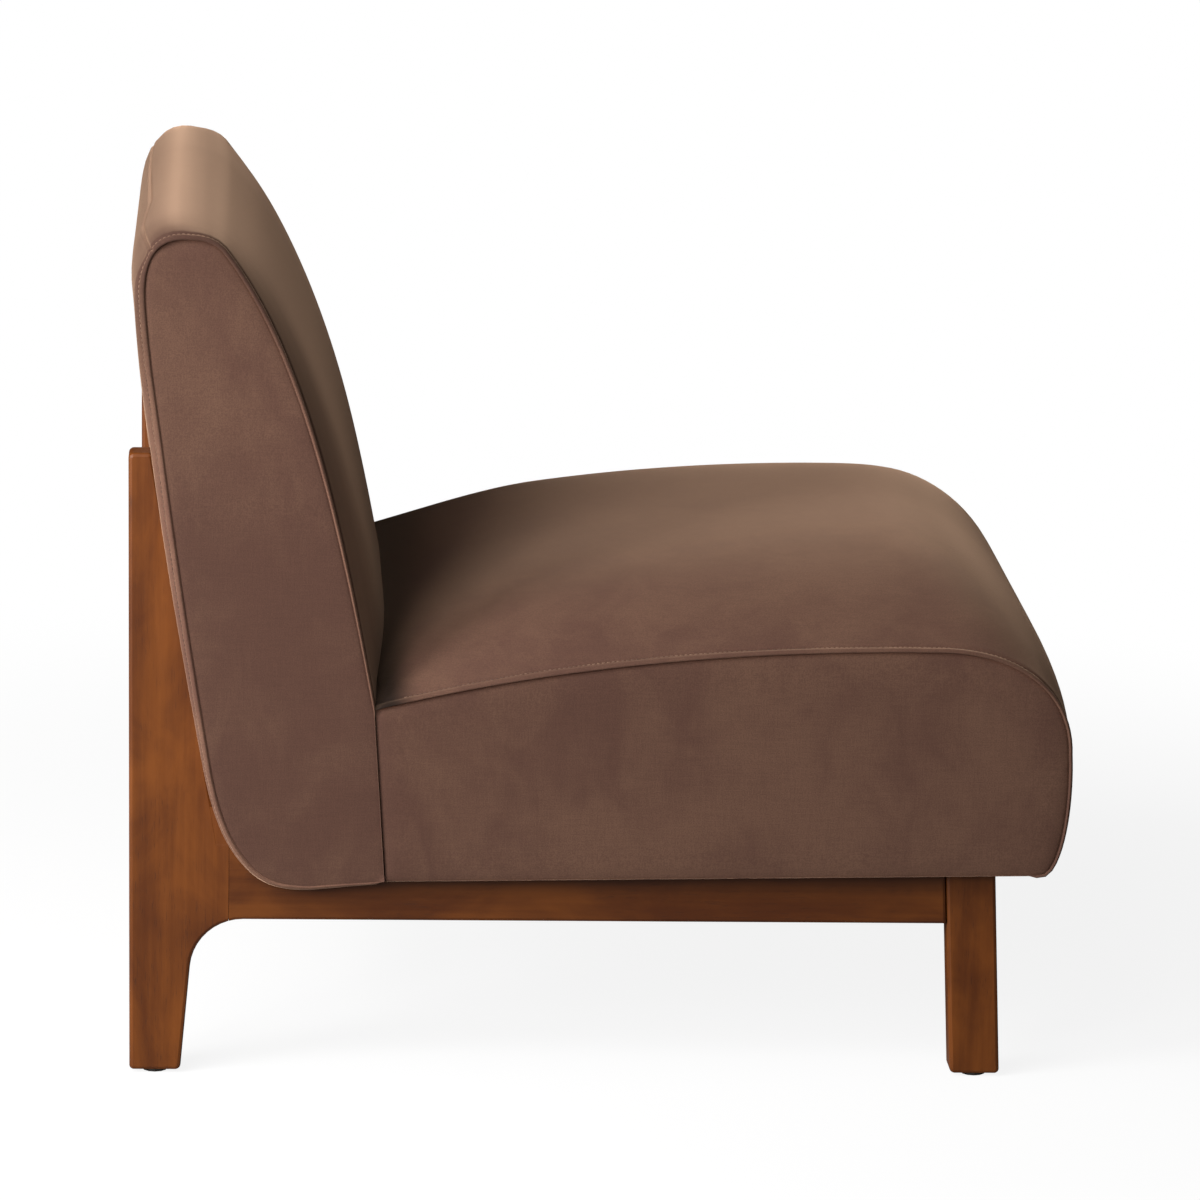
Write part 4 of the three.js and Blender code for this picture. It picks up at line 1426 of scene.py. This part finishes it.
@dataclass
class Upholstery:
    """The velvet body: both cushions and the stitches in their seams."""

    datum: Datum
    back_velvet: bpy.types.Material
    seat_velvet: bpy.types.Material
    side_velvet: bpy.types.Material
    thread: bpy.types.Material
    lines: BodyLines = field(default_factory=BodyLines)
    stuffing: Stuffing = field(default_factory=Stuffing)
    fills: Pair = (0.9, 0.85)
    stitch_pitch: float = 4.2
    stitch_length: float = 2.9
    stitch_radius: float = 0.36
    reach: float = 40.0

    def build(self) -> Line:
        """Builds the back, then the seat against it, then the stitches.

        Returns:
            The forward places and heights of the lower rear corner over a side board.
        """
        base = Base()
        back = BackCushion("back_cushion", self.lines.back(), base=base)
        seat = SeatCushion("seat_cushion", self.lines.seat(base.leg_front), base=base)
        back_grid = back.fit(back.grid() + self.bulge(back))
        seat.behind, seat.behind_grid = back, back_grid
        seat_grid = seat.fit(seat.grid() + self.bulge(seat))
        self.piece(back, back_grid, self.back_velvet, self.fills[1], "back_front_panel", "back_side_panel_left",
                   "back_side_panel_right", "back_rear_panel", "back_foam")
        self.piece(seat, seat_grid, self.seat_velvet, self.fills[0], "seat_top_panel", "seat_side_panel_left",
                   "seat_side_panel_right", "seat_foam")
        for cushion in (back, seat):
            self.stitches(cushion)
        return back.corner(back_grid)

    def piece(
        self, cushion: Cushion, grid: np.ndarray, velvet: bpy.types.Material, fill: float, *nodes: str
    ) -> None:
        """Args:
            cushion: the cushion.
            grid: its fitted band.
            velvet: the velvet of the band.
            fill: how full it is stuffed; not used.
            nodes: the nodes that it stands for.
        """
        points, faces, picks = cushion.closed(cushion.sew(grid))
        made = make_mesh(cushion.name, self.datum.place(points), faces, [velvet, self.side_velvet], picks)
        settle(made, "velvet", *nodes)

    def bulge(self, cushion: Cushion) -> np.ndarray:
        """The unevenness that stuffing gives a cushion.

        Args:
            cushion: the cushion.

        Returns:
            The moves of its band, (rows, stations, 3) millimetres.
        """
        grid = cushion.grid()
        small = cushion.fit(cushion.grid(self.stuffing.inset))
        points, faces, _ = cushion.closed(small)
        surface = self.stuffing.run(cushion.name, self.datum.place(points), faces)
        normal = np.insert(cushion.outline.normal, 1, 0, axis=1)
        swell = np.full(grid.shape[:2], np.nan)
        starts = self.datum.place(grid + normal[:, None, :] * self.reach)
        for i, j in np.ndindex(swell.shape):
            hit = surface.ray_cast(Vector(starts[i, j]), Vector(-normal[i]), 2 * self.reach * MM)
            if hit[0] is not None:
                swell[i, j] = self.reach - hit[3] / MM
        kept = self.stuffing.kept
        swell = self.softened(kept * np.tanh(np.nan_to_num(swell - np.nanmedian(swell)) / kept))
        swell *= smooth_step(4, 45, cushion.away)[None, :]
        swell *= cushion.outline.lap[:, None]
        return normal[:, None, :] * swell[..., None]

    @staticmethod
    def softened(values: np.ndarray, rounds: int = 14) -> np.ndarray:
        """Averages the values of a band with their neighbours, round and across it.

        Args:
            values: (rows, stations) values.
            rounds: how many times they are averaged.

        Returns:
            The softened values.
        """
        for _ in range(rounds):
            values = (np.roll(values, 1, 0) + values + np.roll(values, -1, 0)) / 3
            wide = np.pad(values, ((0, 0), (1, 1)), mode="edge")
            values = (wide[:, :-2] + wide[:, 1:-1] + wide[:, 2:]) / 3
        return values

    def stitches(self, cushion: Cushion) -> None:
        """Lays a line of stitches in the groove beside each seam.

        Args:
            cushion: the sewn cushion.
        """
        station = int(np.argmin(np.abs(np.array(cushion.edge) - cushion.seam.stitch)))
        rows = np.flatnonzero(cushion.outline.lap > 0.6)
        start = int(np.argmax(np.diff(rows) > 1)) + 1 if (np.diff(rows) > 1).any() else 0
        rows = np.roll(rows, -start)
        facing = cushion.facing(cushion.band)
        points: list[np.ndarray] = []
        faces: Faces = []
        for at in (station, cushion.band.shape[1] - 1 - station):
            normal = facing[rows, at]
            path = cushion.band[rows, at] + normal * self.stitch_radius * 0.6
            length = run_length(path)
            for middle in np.arange(self.stitch_pitch, length[-1] - self.stitch_pitch, self.stitch_pitch):
                ends = middle + self.stitch_length * np.array((-0.5, -0.36, 0.36, 0.5))
                spine = np.column_stack([np.interp(ends, length, path[:, k]) for k in range(3)])
                up = normal[int(np.searchsorted(length, middle))]
                self.stitch(spine, up, points, faces)
        name = cushion.name.replace("cushion", "stitching")
        settle(make_mesh(name, self.datum.place(np.concatenate(points)), faces, [self.thread]), "velvet")

    def stitch(self, spine: np.ndarray, up: np.ndarray, points: list[np.ndarray], faces: Faces) -> None:
        """Adds one stitch, a short length of thread pulled down at both ends.

        Args:
            spine: four places along it.
            up: the way out of the cloth.
            points: the places made so far.
            faces: the faces made so far.
        """
        first = len(points) * 10
        side = np.cross(up, spine[-1] - spine[0])
        side *= self.stitch_radius / np.linalg.norm(side)
        rise = up * self.stitch_radius
        sink = up * self.stitch_radius * 1.2
        ring = [side, rise, -side, -rise]
        places = [spine[0] - sink]
        places += [spine[k] + corner for k in (1, 2) for corner in ring]
        places.append(spine[3] - sink)
        points.append(np.array(places))
        for k in range(4):
            after = (k + 1) % 4
            faces.append((first, first + 1 + after, first + 1 + k))
            faces.append((first + 1 + k, first + 1 + after, first + 5 + after, first + 5 + k))
            faces.append((first + 9, first + 5 + k, first + 5 + after))


# Hidden soft parts


def spread(low: Vector, high: Vector, rows: int, columns: int) -> tuple[np.ndarray, ...]:
    """A grid over a box, seen from above.

    Args:
        low: the box's low corner, in metres.
        high: its high corner.
        rows: how many rows there are from the rear to the front.
        columns: how many columns there are from side to side.

    Returns:
        The places forward and across in metres, and their distance from the rim in millimetres.
    """
    x, y = np.meshgrid(np.linspace(low.x, high.x, rows), np.linspace(low.y, high.y, columns), indexing="ij")
    inward = np.minimum(np.minimum(x - low.x, high.x - x), np.minimum(y - low.y, high.y - y)) / MM
    return x, y, inward


@dataclass(frozen=True)
class DustCover:
    """Black lining under the body, folded in at its edges and stapled."""

    cloth: bpy.types.Material
    wire: bpy.types.Material
    thick: float = 0.5
    hem: float = 12.0
    sag: float = 1.6
    gap: float = 0.05
    ripple: float = 0.35
    staple_pitch: float = 55.0
    staple: Triple = (10.0, 1.2, 0.5)
    grid: tuple[int, int] = (84, 78)

    def build(self) -> None:
        """Builds the sheet and its staples."""
        low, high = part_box("dust_cover")
        x, y, inward = spread(low, high, *self.grid)
        along, aside = (x - low.x) / (high.x - low.x), (y - low.y) / (high.y - low.y)
        belly = np.sin(math.pi * along) * np.sin(math.pi * aside)
        ripple = Wave(3, 0.16)(x + 0.6 * y) + Wave(4, 0.12)(y - 0.3 * x)
        down = self.sag * belly + self.ripple * ripple * smooth_step(6, 40, inward)
        upper = high.z - self.gap * MM - np.maximum(down, 0) * MM
        fold = 1 + smooth_step(self.hem + 1, self.hem - 1, inward)
        lower = upper - self.thick * fold * MM
        points, faces = slab(np.stack([x, y, upper], -1), np.stack([x, y, lower], -1))
        made = make_mesh("dust_lining", points, faces, [self.cloth])
        settle(made, "lining", "dust_cover")
        staples = self.staples(low, high)

    def staples(self, low: Vector, high: Vector) -> bpy.types.Object:
        """Sets the crowns of the staples round the hem.

        Args:
            low: the sheet's low corner, in metres.
            high: its high corner.

        Returns:
            The staples, as one piece.
        """
        inset = self.hem * 0.5 * MM
        under = high.z - (self.gap + 2 * self.thick) * MM
        spots = []
        for x in np.arange(low.x + 0.03, high.x - 0.02, self.staple_pitch * MM):
            spots += [(x, low.y + inset, 0.3), (x, high.y - inset, -0.3)]
        for y in np.arange(low.y + 0.05, high.y - 0.04, self.staple_pitch * MM):
            spots += [(low.x + inset, y, math.pi / 2 - 0.3), (high.x - inset, y, math.pi / 2 + 0.3)]
        points, faces = [], []
        long, wide, deep = (value * MM / 2 for value in self.staple)
        for x, y, turn in spots:
            along = np.array((math.cos(turn), math.sin(turn), 0))
            beside = np.array((-along[1], along[0], 0))
            faces += loft(2, 4, len(points))
            for level, half in ((0.0, 1.0), (-2 * deep, 0.8)):
                middle = np.array((x, y, under + level))
                for a, b in ((-1, -1), (1, -1), (1, 1), (-1, 1)):
                    points.append(middle + along * a * long * half + beside * b * wide * half)
        return settle(make_mesh("dust_lining_staples", np.array(points), faces, [self.wire]), "zinc_steel")


@dataclass(frozen=True)
class Webbing:
    """Woven straps across the back ladder."""

    cloth: bpy.types.Material
    nodes: tuple[str, ...] = ("back_web_1", "back_web_2", "back_web_3")
    share: float = 0.98
    rib: float = 0.25
    rib_rate: float = 900.0
    hem: float = 3.0
    grid: tuple[int, int] = (180, 25)

    def build(self) -> None:
        """Builds each strap where its solid lies."""
        for node in self.nodes:
            places = np.array([v.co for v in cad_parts[node].data.vertices])
            middle = (places.min(0) + places.max(0)) / 2
            _, _, axes = np.linalg.svd(places - middle, full_matrices=False)
            flat = (places - middle) @ axes.T
            half = (flat.max(0) - flat.min(0)) / 2
            wide = half[1] * self.share
            along = np.linspace(-half[0], half[0], self.grid[0])
            across = np.linspace(-wide, wide, self.grid[1])
            a, b = np.meshgrid(along, across, indexing="ij")
            edge = smooth_step(wide, wide - self.hem * MM, np.abs(b))
            ribs = self.rib * MM * np.abs(np.sin(a * self.rib_rate)) * edge
            plane = middle + a[..., None] * axes[0] + b[..., None] * axes[1]
            out = (half[2] - self.rib * MM + ribs)[..., None] * axes[2]
            sides = (plane + out, plane - out)
            points, faces = slab(*(sides if np.linalg.det(axes) > 0 else sides[::-1]))
            made = make_mesh(node.replace("web", "strap"), points, faces, [self.cloth])
            settle(made, "webbing", node)
            2 * wide
            2 * half[0]


@dataclass(frozen=True)
class FeltPad:
    """Felt between the springs and the foam, a little lumpy and rounded at its rim."""

    felt: bpy.types.Material
    edge: float = 5.0
    lump: float = 0.5
    grid: tuple[int, int] = (90, 92)

    def build(self) -> None:
        """Builds the pad in the room that its solid holds."""
        low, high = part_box("spring_pad")
        x, y, inward = spread(low, high, *self.grid)
        round_off = self.edge * MM * (1 - np.sqrt(1 - (1 - np.clip(inward / self.edge, 0, 1)) ** 2))
        lumps = self.lump * MM * (Wave(8, 0.09)(x + 0.4 * y) + Wave(9, 0.07)(y - 0.5 * x))
        upper = high.z - round_off - np.maximum(lumps, 0)
        lower = low.z + round_off + np.maximum(-lumps, 0)
        points, faces = slab(np.stack([x, y, upper], -1), np.stack([x, y, lower], -1))
        made = make_mesh("felt_pad", points, faces, [self.felt])
        settle(made, "felt", "spring_pad")


# The rigid parts


@dataclass(frozen=True)
class CornerFillet:
    """Small wood fillets glued in the corners between the posts and the rails, in millimetres."""

    datum: Datum
    finish: bpy.types.Material
    base: Base = field(default_factory=Base)
    joint: float = 0.06
    room: float = 0.7
    tall: float = 60.0
    least: float = 0.5
    levels: int = 30
    faces_at: tuple[float, ...] = (285.4, 312.0, 314.12, 314.9)
    worn_edge: tuple[float, ...] = (0.0, 0.0, 0.88, 2.76)

    def build(self, body: Line) -> None:
        """Builds both fillets.

        Args:
            body: the forward places and heights of the body's lower rear corner, from the lowest up.
        """
        height = np.linspace(body[1][0], body[1][0] + self.tall, 240)
        front = np.interp(height, body[1], body[0]) - self.room
        slim = front < self.base.post_front(height) + self.joint + self.least
        top = height[int(np.argmax(slim))] if slim.any() else height[-1]
        for name, side in (("right", -1), ("left", 1)):
            rings = [self.ring(side * y, worn, top, body) for y, worn in zip(self.faces_at, self.worn_edge)]
            faces = [face[::side] for face in loft(len(rings), 2 * self.levels)]
            points = self.datum.place(np.concatenate(rings))
            made = make_mesh("corner_fillet_" + name, points, faces, [self.finish])
            made.data.shade_flat()
            settle(made, "stained_wood")

    def ring(self, across: float, worn: float, top: float, body: Line) -> np.ndarray:
        """The fillet's outline at one place across, down the post's side and up the body's side.

        Args:
            across: the place.
            worn: how far the edge is worn back there.
            top: the fillet's height.
            body: the body's lower rear corner.

        Returns:
            The outline's points.
        """
        z = np.linspace(self.base.rail_top + self.joint - worn, top, self.levels)
        rear = self.base.post_front(z) + self.joint - worn
        front = np.maximum(np.interp(z, body[1], body[0]) - self.room, rear + 0.1)
        x = np.concatenate([rear[::-1], front])
        return np.column_stack([x, np.full(len(x), across), np.concatenate([z[::-1], z])])


@dataclass(frozen=True)
class GlueLine:
    """Dark glue and stain that fill the joints between the posts and the side rails, in millimetres."""

    datum: Datum
    finish: bpy.types.Material
    joint: float = 85.0
    thick: float = 0.28
    low: float = 136.05
    high: float = 205.0
    outer: float = 314.6
    deep: float = 8.0
    uneven: float = 0.25
    levels: int = 46

    def build(self) -> None:
        """Builds one thin uneven bead in each joint."""
        points, faces = [], []
        for side in (-1, 1):
            faces += [face[::side] for face in loft(self.levels, 4, len(points))]
            for z in np.linspace(self.low, self.high, self.levels):
                worn = self.uneven * (1 + Wave(12, 30.0)(z))
                near, far = side * (self.outer - worn), side * (self.outer - self.deep)
                for x, y in ((-0.5, near), (0.5, near), (0.5, far), (-0.5, far)):
                    points.append((self.joint + x * self.thick, y, z))
        settle(make_mesh("joint_glue", self.datum.place(np.array(points)), faces, [self.finish]), "stained_wood")


@dataclass(frozen=True)
class Finishes:
    """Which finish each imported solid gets: the first one whose key starts the solid's name."""

    by_name: dict[str, StainedWood | BareWood | Metal | Nylon]

    def dress(self) -> None:
        """Puts a finish in each kept solid's material slots."""
        made: dict[str, bpy.types.Material] = {}
        for name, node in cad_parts.items():
            if node.hide_render:
                continue
            finish = next(finish for start, finish in self.by_name.items() if name.startswith(start))
            if finish.name not in made:
                made[finish.name] = finish.build()
            if not node.material_slots:
                node.data.materials.append(made[finish.name])
            for slot in node.material_slots:
                slot.material = made[finish.name]
            LOG.info("%s: %s", name, finish.name)


def chair_finishes() -> Finishes:
    """The finishes of this chair."""
    cross_rail = StainedWood("stained_cross_rail", Grain.ACROSS, 2.2)
    bare_forward = BareWood("bare_forward", Grain.FORWARD)
    bare_across = BareWood("bare_across", Grain.ACROSS)
    return Finishes({
        "rear_post_left": StainedWood("stained_post_left", Grain.UPRIGHT, 3.1),
        "rear_post_right": StainedWood("stained_post_right", Grain.UPRIGHT, 0.4),
        # Painted shade: the rail's darker colours and the under masks of rail and leg stand in for the body's
        # shadow over them.
        "side_rail": StainedWood(
            "stained_rail", Grain.FORWARD, 1.2, linear(74, 35, 10), linear(106, 57, 18), under=0.6
        ),
        "front_leg": StainedWood("stained_leg", Grain.UPRIGHT, 5.0, under=0.25, shadow_heights=(0.10, 0.17)),
        "base_rear_rail": cross_rail,
        "base_front_rail": cross_rail,
        "base_block": BareWood("bare_block", Grain.UPRIGHT),
        "seat_rail_left": bare_forward,
        "seat_rail_right": bare_forward,
        "seat_rail": bare_across,
        "back_post": BareWood("bare_upright", Grain.UPRIGHT),
        "back_rail": bare_across,
        "back_dowel": bare_across,
        "foot_glide": Nylon("moulded_nylon"),
        "seat_spring": Metal("spring_wire", linear(104, 106, 110), linear(70, 66, 62), 0.38),
        "": Metal("zinc_plate", linear(196, 198, 202), linear(150, 152, 158), 0.28),
    })


# The studio


@dataclass(frozen=True)
class Lamp:
    """A soft square lamp that faces the chair."""

    name: str
    turn: float
    rise: float
    power: float
    size: float = 1.2
    far: float = 3.2
    aim: Triple = (0.0, 0.0, 0.4)

    def build(self) -> None:
        """Hangs the lamp, turned to the left of the camera and raised by its angles."""
        turn, rise = math.radians(self.turn), math.radians(self.rise)
        way = Vector((-math.sin(turn) * math.cos(rise), -math.cos(turn) * math.cos(rise), math.sin(rise)))
        data = bpy.data.lights.new(self.name, "AREA")
        data.shape = "SQUARE"
        data.size = self.size
        data.energy = self.power
        lamp = bpy.data.objects.new(self.name, data)
        lamp.location = Vector(self.aim) + way * self.far
        lamp.rotation_euler = way.to_track_quat("Z", "Y").to_euler()
        bpy.context.scene.collection.objects.link(lamp)


@dataclass(frozen=True)
class Studio:
    """White room, lamps and camera."""

    datum: Datum
    lamps: tuple[Lamp, ...] = (
        Lamp("key_low_lamp", 60, 15, 77),
        Lamp("key_lamp", 50, 40, 56),
        Lamp("side_lamp", 30, 15, 48),
        Lamp("top_lamp", 60, 65, 13),
        Lamp("front_lamp", 20, 52, 8),
    )
    ambient: float = 0.02
    bounce: float = 0.25
    yaw: float = 3.4
    pitch: float = 12.9
    roll: float = 1.287
    stand: Triple = (98.0, -5409.8, 1591.9)
    lens: float = 183.12
    sensor: float = 36.0
    shadow: float = 0.12
    floor_half: float = 30.0

    def build(self) -> None:
        """Builds the room, then the lamps and the camera."""
        self.world()
        self.floor()
        for lamp in self.lamps:
            lamp.build()
        self.camera()
        bpy.context.scene.view_settings.view_transform = "Standard"

    def world(self) -> None:
        """White where it is seen, and a weaker fill elsewhere."""
        world = bpy.data.worlds.new("room")
        bpy.context.scene.world = world
        graph = Graph(world)
        seen = graph.add("ShaderNodeLightPath", None, None, "Is Camera Ray")
        white = graph.add("ShaderNodeBackground", None, {"Color": (1, 1, 1), "Strength": 1.0})
        fill = graph.add("ShaderNodeBackground", None, {"Color": (1, 1, 1), "Strength": self.ambient})
        surface = graph.add("ShaderNodeMixShader", None, {0: seen, 1: fill, 2: white})
        graph.add("ShaderNodeOutputWorld", None, {"Surface": surface})

    def floor(self) -> None:
        """A wide white floor that takes a soft shadow."""
        square = np.array([(-1, -1, 0), (1, -1, 0), (1, 1, 0), (-1, 1, 0)]) * self.floor_half
        graph = Graph.named("white_floor")
        tone = graph.noise((3, 3, 3))
        colour = graph.mix(tone, (0.95, 0.95, 0.95), (0.99, 0.99, 0.99))
        seen = graph.add("ShaderNodeLightPath", None, None, "Is Camera Ray")
        matt = graph.add("ShaderNodeBsdfDiffuse", None, {"Color": graph.mix(seen, [self.bounce] * 3, colour)})
        glow = graph.add("ShaderNodeEmission", None, {"Color": (1, 1, 1), "Strength": 1.0})
        far = graph.add("ShaderNodeVectorMath", {"operation": "LENGTH"}, {0: graph.place()}, "Value")
        share = seen * (1.0 - self.shadow * (1.0 - far.step(0.7, 1.6)))
        surface = graph.add("ShaderNodeMixShader", None, {0: share, 1: matt, 2: glow})
        graph.add("ShaderNodeOutputMaterial", None, {"Surface": surface})
        make_mesh("floor", square, [(0, 1, 2, 3)], [graph.owner])

    def camera(self) -> None:
        """The camera, turned, tipped and rolled by its three angles."""
        a, e, r = (math.radians(angle) for angle in (self.yaw, self.pitch, self.roll))
        ahead = Vector((math.cos(e) * math.sin(a), math.cos(e) * math.cos(a), -math.sin(e)))
        level = Vector((math.cos(a), -math.sin(a), 0))
        raised = level.cross(ahead)
        right = level * math.cos(r) + raised * math.sin(r)
        up = raised * math.cos(r) - level * math.sin(r)
        data = bpy.data.cameras.new("camera")
        data.lens = self.lens
        data.sensor_width = self.sensor
        data.clip_end = 100.0
        camera = bpy.data.objects.new("camera", data)
        turn = Matrix((right, up, -ahead)).transposed()
        camera.matrix_world = Matrix.Translation(Vector(self.datum.place(self.stand))) @ turn.to_4x4()
        bpy.context.scene.collection.objects.link(camera)
        bpy.context.scene.camera = camera


def corners(box: tuple[Vector, Vector]) -> list[list[float]]:
    """A box as plain lists of numbers."""
    return [[float(value) for value in corner] for corner in box]


def main() -> None:
    """Builds the soft parts, dresses the rigid ones and lights the room."""
    logging.basicConfig(level=logging.INFO, format="%(message)s")
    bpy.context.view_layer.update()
    datum = Datum.of_frame()
    # The back's velvet gets painted light by height; the seat's velvet gets a painted shadow in its crease.
    back = Velvet("velvet_back", painted_light_levels=(1.4, 0.75)).build()
    seat = Velvet("velvet_seat", seed=2.0, crease_shadow=0.93).build()
    side = Velvet("velvet_side", seed=4.0).build()
    thread = Cloth("thread", linear(84, 60, 49), linear(138, 108, 88), 2200, patchy=0.8).build()
    corner = Upholstery(datum, back, seat, side, thread).build()
    zinc = Metal("staple_wire", linear(196, 198, 202), linear(150, 152, 158), 0.3).build()
    DustCover(Cloth("lining", linear(26, 26, 27), linear(44, 44, 46), 900).build(), zinc).build()
    Webbing(Cloth("webbing", linear(222, 214, 196), linear(196, 186, 164), 700).build()).build()
    FeltPad(Cloth("felt", linear(140, 138, 132), linear(96, 98, 108), 400).build()).build()
    dark = StainedWood("joint_stain", Grain.UPRIGHT, 0.9, linear(34, 17, 8), linear(46, 23, 10), linear(24, 12, 6))
    GlueLine(datum, dark.build()).build()
    CornerFillet(datum, StainedWood("stained_fillet", Grain.UPRIGHT, 0.4).build()).build(corner)
    chair_finishes().dress()
    Studio(datum).build()


if __name__ == "__main__":
    main()
